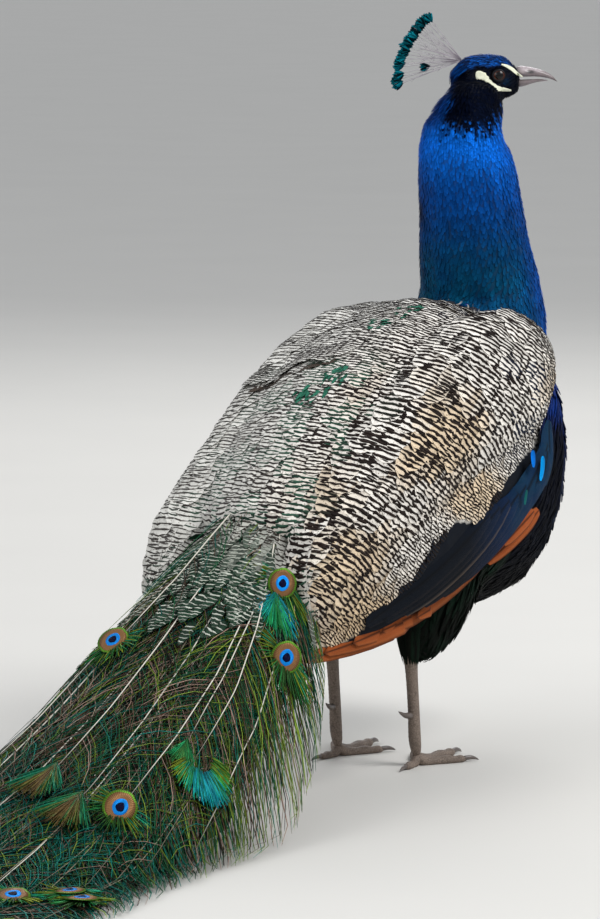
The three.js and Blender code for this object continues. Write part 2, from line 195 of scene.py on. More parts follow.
def ring_faces(count, stations, around):
    """Faces of `count` closed sweeps, each of stations * around points and two poles."""
    size = stations * around + 2
    ring = np.arange(around)
    after = (ring + 1) % around
    rows = (np.arange(stations - 1) * around)[:, None]
    quads = np.stack([rows + ring, rows + after, rows + around + after, rows + around + ring], -1)
    last = (stations - 1) * around
    root = np.stack([after, ring, np.full(around, size - 2)], -1)
    tip = np.stack([last + ring, last + after, np.full(around, size - 1)], -1)
    base = (np.arange(count) * size)[:, None, None]
    return [(quads.reshape(1, -1, 4) + base).reshape(-1, 4),
            (np.concatenate([root, tip])[None] + base).reshape(-1, 3)]


def sweep(centres, across, up, half, thick, columns=3, camber=0.0):
    """Closed vanes or quills along many centre lines at once.

    centres, across, up are (n, s, 3) and half, thick are (n, s). Each section is a lens of
    `columns` points on top and columns - 2 below. Returns points, faces and (share across,
    share along) for each point.
    """
    n, s = half.shape
    top = np.linspace(-1, 1, columns)
    a = np.concatenate([top, top[-2:0:-1]])
    side = np.concatenate([np.ones(columns), -np.ones(columns - 2)])
    around = len(a)
    bulge = side * (1 - a * a) * 0.5
    sag = -camber * a * a
    points = (centres[:, :, None] + across[:, :, None] * (half[..., None] * a)[..., None]
              + up[:, :, None] * (thick[..., None] * bulge + half[..., None] * sag)[..., None])
    first = centres[:, 0] + (centres[:, 0] - centres[:, 1]) * 0.15
    last = centres[:, -1] + (centres[:, -1] - centres[:, -2]) * 0.3
    points = np.concatenate([points.reshape(n, s * around, 3), first[:, None], last[:, None]], 1)
    along = np.linspace(0.02, 0.98, s)
    place = poled(np.stack(np.broadcast_arrays(a[None, :] * 0.5 + 0.5, along[:, None]), -1))
    # The sweep runs across x up; rings go round so that faces point outwards.
    return points.reshape(-1, 3), ring_faces(n, s, around), np.tile(place, (n, 1)), s * around + 2


def quills(paths, radii, around=5):
    """Closed round tapered tubes along paths (n, s, 3) with radii (n, s)."""
    n, s = radii.shape
    tangent = unit(np.gradient(paths, axis=1))
    guide = np.where(np.abs(tangent[..., 2:]) > 0.9, [1.0, 0, 0], [0, 0, 1.0])
    across = unit(np.cross(tangent, guide))
    up = np.cross(across, tangent)
    angle = -np.arange(around) * 2 * math.pi / around
    points = (paths[:, :, None] + (across[:, :, None] * np.cos(angle)[:, None]
              + up[:, :, None] * np.sin(angle)[:, None]) * radii[..., None, None])
    ends = np.stack([paths[:, 0], paths[:, -1]], 1)
    points = np.concatenate([points.reshape(n, s * around, 3), ends], 1)
    along = np.linspace(0, 1, s)
    place = poled(np.stack(np.broadcast_arrays(np.arange(around)[None, :] / around, along[:, None]), -1))
    return points.reshape(-1, 3), ring_faces(n, s, around), np.tile(place, (n, 1)), s * around + 2


def loft(stations, around=24, along=24, side=(1, 0, 0), shape=None):
    """One closed limb through stations [x, y, z, half width, half height], in millimetres."""
    shares = (1 - np.cos(np.linspace(0.04, math.pi - 0.04, along))) / 2
    rows = curve(np.asarray(stations, float), shares)
    centre = rows[:, :3]
    tangent = unit(np.gradient(centre, axis=0))
    across = unit(np.asarray(side, float) - tangent * (tangent @ np.asarray(side, float))[:, None])
    up = np.cross(tangent, across)
    angle = np.arange(around) * 2 * math.pi / around
    round_off = np.sqrt(np.clip(1 - (2 * shares - 1) ** 8, 0.02, 1))[:, None]
    grow = round_off * (shape(shares[:, None], angle[None, :]) if shape else 1.0)
    points = (centre[:, None] + across[:, None] * (np.cos(angle) * rows[:, 3:4] * grow)[..., None]
              + up[:, None] * (np.sin(angle) * rows[:, 4:5] * grow)[..., None])
    ends = curve(np.asarray(stations, float), [0, 1])[:, :3]
    points = np.concatenate([points.reshape(-1, 3), ends])
    place = poled(np.stack(np.broadcast_arrays(angle[None, :] / (2 * math.pi), shares[:, None]), -1))
    return points, ring_faces(1, along, around), place


def joined(parts):
    """Many (points, faces, place) as one."""
    points, faces, places, base = [], [], [], 0
    for part in parts:
        points.append(part[0])
        faces += [f + base for f in part[1]]
        places.append(part[2])
        base += len(part[0])
    return np.concatenate(points), faces, np.concatenate(places)


def outward(made):
    """Points every face of a closed mesh outwards."""
    mesh = bmesh.new()
    mesh.from_mesh(made.data)
    bmesh.ops.recalc_face_normals(mesh, faces=mesh.faces)
    mesh.to_mesh(made.data)
    mesh.free()
    return made


# ------------------------------------------------------------------ materials
def add(tree, kind, inputs=None, **settings):
    """Adds a node. `inputs` maps a socket's name or number to a value or another socket."""
    made = tree.nodes.new(kind)
    for key, value in settings.items():
        setattr(made, key, value)
    for key, value in (inputs or {}).items():
        if isinstance(value, bpy.types.NodeSocket):
            tree.links.new(value, made.inputs[key])
        else:
            made.inputs[key].default_value = value
    return made


def finish(name, paint, **sockets):
    """A material. `paint(tree)` returns the inputs of its Principled shader that vary."""
    made = bpy.data.materials.new(name)
    made.use_nodes = True
    tree = made.node_tree
    tree.nodes.clear()
    varied = paint(tree)
    varied.update({label.replace("_", " "): value for label, value in sockets.items()})
    shader = add(tree, "ShaderNodeBsdfPrincipled", varied)
    add(tree, "ShaderNodeOutputMaterial", {"Surface": shader.outputs[0]})
    return made


def ramp(tree, factor, stops, interpolation="LINEAR"):
    made = add(tree, "ShaderNodeValToRGB", {0: factor})
    made.color_ramp.interpolation = interpolation
    while len(made.color_ramp.elements) < len(stops):
        made.color_ramp.elements.new(0.5)
    for element, (place, colour) in zip(made.color_ramp.elements, stops):
        element.position = place
        element.color = colour if isinstance(colour, tuple) else rgba(colour)
    return made.outputs[0]


def calculate(tree, operation, *values):
    """One sum, product or function of numbers or sockets."""
    return add(tree, "ShaderNodeMath", dict(enumerate(values)), operation=operation).outputs[0]


def ripple(tree, turns):
    """A sine wave of an angle, from 0 to 1."""
    return calculate(tree, "MULTIPLY_ADD", calculate(tree, "SINE", turns), 0.5, 0.5)


def vane_place(tree):
    """A vane's own place: metres across and along it, moved by chance from one to the next."""
    return add(tree, "ShaderNodeUVMap", uv_map="Vane").outputs[0]


def barb_lines(tree, spacing, lean=0.9):
    """Fine lines that leave a vane's middle shaft at a slant, `spacing` metres apart."""
    split = add(tree, "ShaderNodeSeparateXYZ", {0: vane_place(tree)})
    away = calculate(tree, "ABSOLUTE", split.outputs[0])
    slant = calculate(tree, "MULTIPLY_ADD", away, -lean, split.outputs[1])
    return ripple(tree, calculate(tree, "MULTIPLY", slant, 2 * math.pi / spacing))


def tone_of(tree):
    return add(tree, "ShaderNodeAttribute", attribute_name="tone").outputs[0]


def scaled(tree, colour, low, high, factor):
    """Colour times a number between low and high, as factor goes from 0 to 1."""
    amount = add(tree, "ShaderNodeMapRange", {0: factor, 3: low, 4: high}).outputs[0]
    return add(tree, "ShaderNodeVectorMath", {0: colour, "Scale": amount}, operation="SCALE").outputs[0]


def place_noise(tree, scale, detail=2.0, rough=0.5):
    where = add(tree, "ShaderNodeTexCoord").outputs["Object"]
    return add(tree, "ShaderNodeTexNoise",
               {"Vector": where, "Scale": scale, "Detail": detail, "Roughness": rough}).outputs[0]


def bump(tree, height, strength, distance):
    return add(tree, "ShaderNodeBump",
               {"Height": height, "Strength": strength, "Distance": distance}).outputs[0]


MATERIALS = {}
EYE_BARBS = 46.0


def barbs(spacing, lean=0.9):
    """A pattern of barb lines, for `shaded`."""
    return lambda tree: barb_lines(tree, spacing, lean)


def rays(tree):
    """A pattern of lines that run out from a vane's middle."""
    split = add(tree, "ShaderNodeSeparateXYZ", {0: vane_place(tree)})
    angle = calculate(tree, "ARCTAN2", split.outputs[0], split.outputs[1])
    return ripple(tree, calculate(tree, "MULTIPLY", angle, EYE_BARBS))


def grain(scale, detail):
    """A pattern of fine noise."""
    return lambda tree: place_noise(tree, scale, detail)


def plates(tree):
    """A pattern of small plates with dark seams."""
    where = add(tree, "ShaderNodeTexCoord").outputs["Object"]
    cell = add(tree, "ShaderNodeTexVoronoi", {"Vector": where, "Scale": 420.0}, feature="DISTANCE_TO_EDGE")
    return ramp(tree, cell.outputs[0], [(0.0, (0, 0, 0, 1)), (0.12, (1, 1, 1, 1))])


def dusted(tree):
    """The tone with fine brown dust on it."""
    dust = ramp(tree, place_noise(tree, 420, 3, 0.7), [(0.32, 0x7A6A5E), (0.44, 0xFFFFFF)])
    return add(tree, "ShaderNodeVectorMath", {0: tone_of(tree), 1: dust}, operation="MULTIPLY").outputs[0]


def floor_paint(tree):
    paint = add(tree, "ShaderNodeRGB").outputs[0]
    paint.default_value = rgba(0xD6D4CF)
    return paint


def shaded(*shades, relief=None, tone=tone_of):
    """The tone scaled by each (pattern, low, high) in turn. `relief` is the height that the first
    pattern gives: its strength and distance."""
    def paint(tree):
        patterns = [pattern(tree) for pattern, _, _ in shades]
        colour = tone(tree)
        for pattern, (_, low, high) in zip(patterns, shades):
            colour = scaled(tree, colour, low, high, pattern)
        varied = {"Base Color": colour}
        if relief:
            varied["Normal"] = bump(tree, patterns[0], *relief)
        return varied
    return paint


def eyeball(tree):
    """Brown iris and black pupil, ringed by radius."""
    radius = add(tree, "ShaderNodeAttribute", attribute_name="gaze").outputs["Fac"]
    stops = [(0.0, 0x030202), (0.17, 0x030202), (0.19, 0x3A180C), (0.30, 0x5E2C18), (0.36, 0x120806),
             (1.0, 0x050404)]
    return {"Base Color": ramp(tree, radius, stops)}


def make_materials():
    """Every finish on the bird, kept by name."""
    # Contour feathers of neck and breast: keratin barbules whose layers reflect blue, so the
    # colour is saturated and glossy along the barbs and darker between them.
    MATERIALS["glossy"] = finish(
        "iridescent_contour_feather",
        shaded((barbs(1.1 * MM), 0.72, 1.2), (grain(60, 4), 0.7, 1.3), relief=(0.35, 0.4 * MM)),
        Metallic=0.5, Roughness=0.48, Specular_IOR_Level=0.06, Specular_Tint=(0.35, 0.35, 0.4, 1))
    # Body down and belly feathers: loose black barbs, matt, with a faint green gloss.
    MATERIALS["soft"] = finish(
        "loose_body_feather", shaded((barbs(1.4 * MM), 0.6, 1.3), relief=(0.5, 0.6 * MM)),
        Roughness=0.75, Specular_IOR_Level=0.06)
    # Pale ground of scapulars and coverts: matt cream or buff vanes, finely dusted with brown.
    MATERIALS["pale"] = finish(
        "pale_covert_vane",
        shaded((barbs(1.2 * MM, 0.7), 0.86, 1.06), relief=(0.35, 0.4 * MM), tone=dusted),
        Roughness=0.7, Specular_IOR_Level=0.15)
    # The dark bars of the same vanes: brown-black barbs, a little glossier than the pale ones.
    MATERIALS["bar"] = finish(
        "dark_covert_bar", shaded((grain(260, 3), 0.6, 1.4)), Roughness=0.62, Specular_IOR_Level=0.1)
    # Flight feathers: barbs zipped into a smooth satin vane with a fine slanting grain.
    MATERIALS["flight"] = finish(
        "zipped_flight_feather",
        shaded((barbs(2.2 * MM, 2.6), 0.62, 1.15), (grain(45, 3), 0.75, 1.25), relief=(0.45, 0.5 * MM)),
        Roughness=0.55, Specular_IOR_Level=0.06)
    # Loose train barbs: thin metallic green and bronze strands.
    MATERIALS["strand"] = finish(
        "metallic_train_barb", shaded((grain(240, 2), 0.6, 1.35)),
        Roughness=0.45, Metallic=0.3, Specular_IOR_Level=0.15)
    # Feather shafts: ivory keratin, smooth and satin.
    MATERIALS["shaft"] = finish("ivory_feather_shaft", shaded((grain(120, 2), 0.8, 1.1)), Roughness=0.45)
    # Eye of a train feather: dense barbules, the most metallic part of the bird, with barbs that
    # run out from its middle.
    MATERIALS["eye_spot"] = finish(
        "metallic_eye_spot", shaded((rays, 0.72, 1.15), relief=(0.4, 0.4 * MM)),
        Roughness=0.4, Metallic=0.3, Specular_IOR_Level=0.08)
    # Bill, claws and spurs: grown horn, satin, with faint growth streaks. The bill's paler top is a painted
    # highlight in its tone.
    MATERIALS["horn"] = finish(
        "grown_horn", shaded((grain(260, 3), 0.66, 1.15), relief=(0.2, 0.4 * MM)),
        Roughness=0.36, Coat_Weight=0.15, Coat_Roughness=0.25)
    # Leg skin: dry keratin scales, greyish brown, dusty between the plates.
    MATERIALS["scales"] = finish(
        "dry_leg_scales",
        shaded((plates, 0.45, 1.1), (grain(70, 3), 0.7, 1.25), relief=(0.5, 0.35 * MM)),
        Roughness=0.6, Specular_IOR_Level=0.35)
    # Bare face patches: soft cream skin with fine pimples.
    MATERIALS["bare"] = finish(
        "bare_face_skin", shaded((grain(900, 2), 0.86, 1.06), relief=(0.3, 0.3 * MM)),
        Roughness=0.55, Specular_IOR_Level=0.3)
    # Skin under the coat: matt, with the coat's own colours darkened as painted shade, seen only between
    # feathers.
    MATERIALS["skin"] = finish(
        "feathered_skin", shaded((grain(150, 3), 0.45, 0.8)), Roughness=0.8, Specular_IOR_Level=0.15)
    # Eyeball: a wet cornea over a dark brown iris and a round pupil.
    MATERIALS["eye"] = finish("wet_eye", eyeball, Roughness=0.18, Coat_Weight=0.12, Coat_Roughness=0.05,
                              Specular_IOR_Level=0.25)
    # Studio floor: matt pale paint.
    MATERIALS["floor"] = finish(
        "matt_studio_floor", shaded((grain(3, 2), 0.97, 1.02), tone=floor_paint),
        Roughness=0.9, Specular_IOR_Level=0.1)


# ------------------------------------------------------------------ markings
def blend(base, colour, amount):
    amount = np.clip(np.asarray(amount, float), 0, 1)[..., None]
    return base * (1 - amount) + linear(colour) * amount


def around(points, centre, radii):
    """1 at a centre, falling to 0 at about the radii."""
    offset = (points - np.asarray(centre)) / np.asarray(radii)
    return np.exp(-(offset**2).sum(-1) * 1.6)


def mottle(points, scale, seed=0):
    """Cheap smooth noise in 0..1 at bird places."""
    rng = np.random.RandomState(seed)
    total = np.zeros(len(points))
    for k in range(4):
        way = rng.normal(size=3)
        total += np.sin(points @ (way / np.linalg.norm(way)) * 2 * math.pi / scale * (0.7 + 0.3 * k)
                        + rng.uniform(0, 6.28))
    return 0.5 + 0.125 * total


def plumage_tone(points, labels):
    """The coat's colour at places on the skin. `labels` names the part each place is on."""
    x, y, z = points.T
    h = bird_to_head(points)
    tone = even_tone(len(points), 0x0B0C0D)
    neck = np.isin(labels, ["head", "neck"])
    front = smoothstep(-0.17, -0.245, y + 0.25 * np.abs(x))
    blue = even_tone(len(points), 0x0A4C9E)
    # Brighter blue at the front: painted light.
    blue = blend(blue, 0x0B5CC4, 0.9 * front)
    # Darker and tealer at the back low down: painted shade.
    blue = blend(blue, 0x06405F, 0.85 * (1 - front) * smoothstep(0.615, 0.53, z))
    blue = blend(blue, 0x0A7484, 0.55 * (1 - front) * smoothstep(0.57, 0.47, z) * mottle(points, 0.05, 3))
    # A painted highlight high on the neck, towards its right side.
    top = z + 0.05 * (mottle(points, 0.06, 4) - 0.5) + 0.25 * (-0.02 - x)
    blue = blend(blue, 0x0C6EE0, 0.9 * smoothstep(0.585, 0.665, top))
    # Dark mottling low down: painted shade in creases. Then a dark spot on the left: painted shade in a gap
    # between tufts.
    blue = blend(blue, 0x062858, 0.55 * mottle(points, 0.030, 5) * smoothstep(0.665, 0.60, z))
    blue = blend(blue, 0x020810, 0.95 * around(points, (0.040, -0.160, 0.588), (0.024, 0.024, 0.016)))
    # Head: blue crown and nape; black face, cheek, throat and collar with a ragged lower edge. The black of
    # throat and collar is painted shade over feathers that are blue.
    back = h[:, 1]
    height = h[:, 2] + 0.45 * np.maximum(back - 14, 0) + 3.5 * (mottle(points, 0.006, 6) - 0.5)
    crown = smoothstep(10.5, 14.5, height)
    rough = mottle(points, 0.006, 16) - 0.5
    behind = back + 9 * rough - np.interp(z, [0.680, 0.690, 0.700, 0.710, 0.730], [57, 51, 46, 42, 36])
    nape = smoothstep(-5, 5, behind)
    edge = (0.677 + 0.016 * smoothstep(-0.15, -0.20, y) + 0.020 * (mottle(points, 0.012, 8) - 0.5)
            + 0.024 * rough)
    # Black of face and cheek, and on throat and collar a painted shade.
    black_face_shaded_collar = smoothstep(edge - 0.010, edge + 0.006, z) * (1 - crown) * (1 - 0.9 * nape)
    blue = blend(blue, 0x0A3F8C, nape * smoothstep(0.67, 0.69, z))
    blue = blend(blue, 0x0C4C9C, crown)
    blue = blend(blue, 0x03102A, 0.8 * crown * (mottle(points, 0.0035, 17) > 0.55))
    blue = blend(blue, 0x02030A, 0.99 * black_face_shaded_collar)
    lore = around(h, (16, -19, -5), (8, 4.5, 4)) + around(h, (-16, -19, -5), (8, 4.5, 4))
    blue = blend(blue, 0x0B3A5C, 0.6 * lore)
    tone[neck] = blue[neck]
    breast = labels == "breast"
    deep = even_tone(len(points), 0x0A3C9A)
    deep = blend(deep, 0x0A2668, smoothstep(0.42, 0.32, z))
    deep = blend(deep, 0x0A3E3A, 0.6 * around(points, (0.0, -0.28, 0.24), (0.2, 0.08, 0.06)))
    deep = blend(deep, 0x06070A, smoothstep(0.25, 0.17, z))
    deep = blend(deep, 0x020306, 0.97 * smoothstep(-0.285, -0.245, y) * smoothstep(0.42, 0.35, z))
    tone[breast] = deep[breast]
    dark = np.isin(labels, ["belly", "thigh"])
    under = even_tone(len(points), 0x0B0908)
    under = blend(under, 0x0C3020, 0.7 * mottle(points, 0.045, 9) ** 2)
    tone[dark] = under[dark]
    barred = np.isin(labels, ["mantle", "coverts", "secondaries", "primaries"])
    tone[barred] = ground_tone(points[barred])
    tone[barred & (above_edge(points) < -0.002)] = linear(0x0A121E)
    return tone


def ground_tone(points):
    """The pale ground of the barred feathers: white to cream, greyer over the back and to the left."""
    x, z = points[:, 0], points[:, 2]
    tone = even_tone(len(points), 0xF2EDE4)
    cream = smoothstep(0.40, 0.75, mottle(points, 0.11, 12))
    tone = blend(tone, 0xE6CBA4, 0.8 * cream * smoothstep(-0.02, -0.08, x) * smoothstep(0.47, 0.41, z))
    tone = blend(tone, 0xD2B690, 0.6 * smoothstep(0.26, 0.19, z) * smoothstep(0.0, -0.05, x))
    tone = blend(tone, 0x9A5634, 0.9 * around(points, (-0.128, -0.186, 0.352), (0.04, 0.014, 0.014)))
    return blend(tone, 0xD6D6D0, 0.7 * smoothstep(-0.05, 0.03, x))


def bar_tone(points):
    """The dark of the bars: brown-black on the right wing, softer and greyer over to the left."""
    x, y = points[:, 0], points[:, 1]
    tone = even_tone(len(points), 0x221A17)
    tone = blend(tone, 0x0C1A30, 0.8 * (mottle(points, 0.05, 14) > 0.66) * smoothstep(-0.05, -0.12, y))
    tone = blend(tone, 0x4A4644, 0.80 * smoothstep(-0.06, 0.03, x))
    return blend(tone, 0x2F5A48, 0.6 * (mottle(points, 0.06, 15) > 0.5) * smoothstep(0.02, 0.08, y)
                 * smoothstep(0.10, 0.06, np.abs(x)))


# Patches of green scales along the back: middle and reach.
GREEN_PLACES = [
    ((-0.012, -0.010, 0.483), (0.016, 0.022, 0.04)), ((-0.014, -0.062, 0.490), (0.014, 0.030, 0.04)),
    ((-0.020, 0.092, 0.440), (0.014, 0.020, 0.04)), ((-0.004, 0.122, 0.424), (0.022, 0.013, 0.04))]


def green_spots(points):
    """How green the small scaly feathers along the middle of the back are."""
    return np.max([around(points, *spot) for spot in GREEN_PLACES], axis=0)


# ------------------------------------------------------------------ skin
PART_OF = {
    "head": "head", "neck_upper": "neck", "neck_lower": "neck", "breast": "breast", "belly": "belly",
    "mantle": "mantle", "thigh_left": "thigh", "thigh_right": "thigh",
}
for _side in ("left", "right"):
    for _layer in ("coverts", "secondaries", "primaries"):
        PART_OF[f"wing_{_side}_{_layer}"] = _layer
# How far the skin lies inside the solids, in millimetres, by part.
COAT_DEPTH = {"head": 0.9, "neck": 2.0, "breast": 3.4, "belly": 5.0, "mantle": 3.4, "coverts": 3.4,
              "secondaries": 5.0, "primaries": 4.0, "thigh": 3.6}
VOXEL = 3.4 * MM


class Surface:
    """A skin that feathers are laid on: nearest points, soft normals and part labels."""

    def __init__(self, points, triangles, labels, soften=40):
        self.points, self.triangles, self.labels = points, triangles, labels
        self.tree = BVHTree.FromPolygons(points.tolist(), triangles.tolist())
        corner = points[triangles]
        normal = np.cross(corner[:, 1] - corner[:, 0], corner[:, 2] - corner[:, 0])
        count = len(points)
        normals = np.stack([sum(np.bincount(triangles[:, k], normal[:, axis], count) for k in range(3))
                            for axis in range(3)], -1)
        edges = np.concatenate([triangles[:, [0, 1]], triangles[:, [1, 2]], triangles[:, [2, 0]]])
        for _ in range(soften):
            normals = unit(normals)
            normals = normals + np.stack([np.bincount(edges[:, 0], normals[edges[:, 1], axis], count)
                                          for axis in range(3)], -1) * 0.3
        self.normals = unit(normals)

    def drop(self, places):
        """The nearest skin points and their normals."""
        found = np.empty((len(places), 3))
        faces = np.empty(len(places), int)
        for i, place in enumerate(places):
            spot, _, face, _ = self.tree.find_nearest(place)
            found[i] = spot
            faces[i] = face
        return found, unit(self.normals[self.triangles[faces]].mean(1))


SKIN = {}


def even_out(places, edges, weight, times):
    """Smooths steps away and keeps the volume, by a pull in and a slightly stronger push out."""
    degree = np.bincount(edges[:, 0], minlength=len(places))[:, None]
    for turn in range(2 * times):
        mean = np.stack([np.bincount(edges[:, 0], places[edges[:, 1], axis], len(places))
                         for axis in range(3)], -1) / degree
        places = places + (mean - places) * (0.6 if turn % 2 == 0 else -0.61) * weight[:, None]
    return places


def mesh_triangles(mesh):
    mesh.calc_loop_triangles()
    triangles = np.empty(len(mesh.loop_triangles) * 3, np.int32)
    mesh.loop_triangles.foreach_get("vertices", triangles)
    return triangles.reshape(-1, 3)


# The hollow under the neck: its middle, how far each way it reaches and how far it is filled.
CHEST_DIP, DIP_REACH, DIP_FILL = (-0.005, -0.278, 0.386), (0.080, 0.060, 0.024), 9 * MM
EVEN_TURNS, DEPTH_TURNS = 34, 30


def build_skin():
    """One closed skin in place of all flesh nodes, inside them by the depth of the coat."""
    shells, sources, owners = [], [], []
    for node, part in PART_OF.items():
        mesh = bmesh.new()
        mesh.from_mesh(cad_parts[node].data)
        bmesh.ops.remove_doubles(mesh, verts=mesh.verts, dist=1e-5)
        bmesh.ops.recalc_face_normals(mesh, faces=mesh.faces)
        for vertex in mesh.verts:
            vertex.co += vertex.normal * 0.5 * MM
        copy = bpy.data.meshes.new("flesh")
        mesh.to_mesh(copy)
        base = sum(len(s) for s in sources)
        sources.append(np.array([v.co for v in mesh.verts]))
        owners.append((part, np.array([[v.index for v in f.verts] for f in mesh.faces]) + base))
        mesh.free()
        shells.append(bpy.data.objects.new("flesh", copy))
        bpy.context.scene.collection.objects.link(shells[-1])
    bpy.ops.object.select_all(action="DESELECT")
    for shell in shells:
        shell.select_set(True)
    bpy.context.view_layer.objects.active = shells[0]
    bpy.ops.object.join()
    skin = bpy.context.view_layer.objects.active
    skin.name = skin.data.name = "skin"
    remesh = skin.modifiers.new("Remesh", "REMESH")
    remesh.mode = "VOXEL"
    remesh.voxel_size = VOXEL
    bpy.ops.object.modifier_apply(modifier=remesh.name)
    count = len(skin.data.vertices)
    places = np.empty(count * 3, np.float32)
    skin.data.vertices.foreach_get("co", places)
    places = places.reshape(-1, 3).astype(float)
    tree = BVHTree.FromPolygons(np.concatenate(sources).tolist(),
                                np.concatenate([o[1] for o in owners]).tolist())
    part_of_face = np.concatenate([[part] * len(faces) for part, faces in owners])
    labels = np.array([part_of_face[tree.find_nearest(p)[2]] for p in places])
    triangles = mesh_triangles(skin.data)
    edges = np.concatenate([triangles[:, [0, 1]], triangles[:, [1, 2]], triangles[:, [2, 0]]])
    places = even_out(places, edges, np.where(labels == "head", 0.7, 1.0), EVEN_TURNS)
    places[:, 1] -= DIP_FILL * around(places - ORIGIN, CHEST_DIP, DIP_REACH)
    first = Surface(places, triangles, labels)
    depth = np.array([COAT_DEPTH[label] for label in labels]) * MM
    degree = np.bincount(edges[:, 0], minlength=count)
    for _ in range(DEPTH_TURNS):
        depth = 0.5 * depth + 0.5 * np.bincount(edges[:, 0], depth[edges[:, 1]], count) / degree
    places = places - first.normals * depth[:, None]
    skin.data.vertices.foreach_set("co", places.astype(np.float32).ravel())
    skin.data.polygons.foreach_set("use_smooth", np.ones(len(skin.data.polygons), bool))
    places = places - ORIGIN
    SKIN["surface"] = Surface(places, triangles, labels)
    store_tone(skin.data, plumage_tone(places, labels))
    corners = np.empty(len(skin.data.loops), np.int32)
    skin.data.loops.foreach_get("vertex_index", corners)
    uv = skin.data.uv_layers.new(name="OFBake")
    uv.data.foreach_set("uv", unwrap(places)[corners].astype(np.float32).ravel())
    skin.data.materials.clear()
    skin.data.materials.append(MATERIALS["skin"])
    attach(skin, "root")
    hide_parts(*PART_OF)


# The line down the middle of the bird, bill to rump, that its skin is unrolled from.
SPINE = np.array([
    [-0.046, -0.235, 0.727], [-0.015, -0.214, 0.732], [-0.008, -0.182, 0.690], [-0.003, -0.178, 0.640],
    [0, -0.200, 0.585], [0, -0.222, 0.520], [0, -0.215, 0.440], [0, -0.170, 0.370], [0, -0.080, 0.335],
    [0, 0.020, 0.315], [0, 0.120, 0.290], [0, 0.220, 0.262], [0, 0.290, 0.240]])


SPINE_STEPS, SPINE_STEP = 160, 0.0075
BLOCK = 20000


def unwrap(points):
    """The skin unrolled: share of the way along the spine, and the turn round it."""
    line = curve(SPINE, np.linspace(0, 1, SPINE_STEPS))
    out = np.empty((len(points), 2))
    tangents = unit(np.gradient(line, axis=0))
    for start in range(0, len(points), BLOCK):
        block = points[start:start + BLOCK]
        nearest = ((block[:, None] - line[None]) ** 2).sum(-1).argmin(1)
        offset = block - line[nearest]
        tangent = tangents[nearest]
        up = unit(np.cross(np.array([1.0, 0, 0]), tangent))
        share = (nearest + np.clip((offset * tangent).sum(-1) / SPINE_STEP, -0.5, 0.5)) / SPINE_STEPS
        turn = np.arctan2(offset[:, 0], (offset * up).sum(-1)) / (2 * math.pi)
        out[start:start + BLOCK, 0] = np.clip(share, 0, 1)
        out[start:start + BLOCK, 1] = turn + 0.5
    return inset(out)


# ------------------------------------------------------------------ the lie of the coat
# Places on the left half of the bird, the way feathers point there, and how far that reaches.
LIE = [
    ((0, -0.18, 0.68), (0, 0.1, -1), 0.04), ((0, -0.17, 0.62), (0, -0.1, -1), 0.05),
    ((0, -0.22, 0.54), (0, 0.0, -1), 0.06), ((0, -0.15, 0.49), (0, 0.6, -0.8), 0.04),
    ((0, -0.28, 0.46), (0, 0.0, -1), 0.06), ((0, -0.31, 0.34), (0, 0.3, -0.95), 0.06),
    ((0, -0.27, 0.21), (0, 0.9, -0.4), 0.06), ((0, -0.12, 0.16), (0, 1, -0.15), 0.08),
    ((0.11, -0.22, 0.34), (0, 0.75, -0.66), 0.06), ((0, -0.10, 0.49), (0, 0.95, -0.3), 0.06),
    ((0, 0.05, 0.45), (0, 0.87, -0.5), 0.07), ((0, 0.20, 0.33), (0, 0.8, -0.6), 0.07),
    ((0.13, -0.17, 0.42), (0, 0.80, -0.6), 0.06), ((0.13, 0.0, 0.36), (0, 0.87, -0.49), 0.08),
    ((0.12, 0.14, 0.28), (0, 0.88, -0.47), 0.08), ((0.1, 0.24, 0.19), (0, 0.9, -0.42), 0.06),
    ((0.05, -0.05, 0.2), (0, 0.4, -0.9), 0.05), ((0.05, -0.0, 0.14), (0, 0.25, -1), 0.04),
]
HEAD_LIE = [
    ((0, -34, 6), (0, 1, 0.4)), ((0, -10, 24), (0, 1, 0.05)), ((0, 20, 20), (0, 1, -0.5)),
    ((18, -16, 4), (0.0, 1, 0.0)), ((18, 8, 4), (0, 0.9, -0.4)), ((14, -24, -14), (0, 0.8, -0.6)),
    ((0, -10, -24), (0, 0.6, -0.8)), ((0, 30, -10), (0, 0.2, -1)),
]


def lie_of_coat(points):
    """The way the feathers point at places on the skin."""
    places, ways, reach = [], [], []
    for place, way, size in LIE:
        for sign in (1, -1) if place[0] else (1,):
            places.append((sign * place[0], *place[1:]))
            ways.append(way)
            reach.append(size)
    for place, way in HEAD_LIE:
        for sign in (1, -1) if place[0] else (1,):
            places.append(head_to_bird([(sign * place[0], *place[1:])])[0])
            ways.append(HEAD_MATRIX @ np.array(way, float))
            reach.append(0.016)
    places, ways, reach = np.array(places), unit(np.array(ways)), np.array(reach)
    total = np.zeros_like(points)
    for place, way, size in zip(places, ways, reach):
        gap = ((points - place) ** 2).sum(-1)
        weight = np.exp(-gap / (size * size)) + 1e-9 / gap
        total += weight[:, None] * way
    return unit(total)


NEIGHBOURS = list(itertools.product((-1, 0, 1), repeat=3))


def squared(way):
    return way @ way


def scatter(surface, wanted, spacing, seed):
    """Skin vertices of the wanted labels, no two closer than spacing (one number a vertex)."""
    rng = np.random.RandomState(seed)
    candidates = np.nonzero(wanted)[0]
    rng.shuffle(candidates)
    cell = float(spacing[candidates].max()) if len(candidates) else 1.0
    grid, kept = {}, []
    for i in candidates:
        place = surface.points[i]
        x, y, z = (place // cell).astype(int)
        near = (other for dx, dy, dz in NEIGHBOURS for other in grid.get((x + dx, y + dy, z + dz), ()))
        if all(squared(place - surface.points[other]) >= spacing[i] * spacing[i] for other in near):
            grid.setdefault((x, y, z), []).append(i)
            kept.append(i)
    return np.array(kept, int)


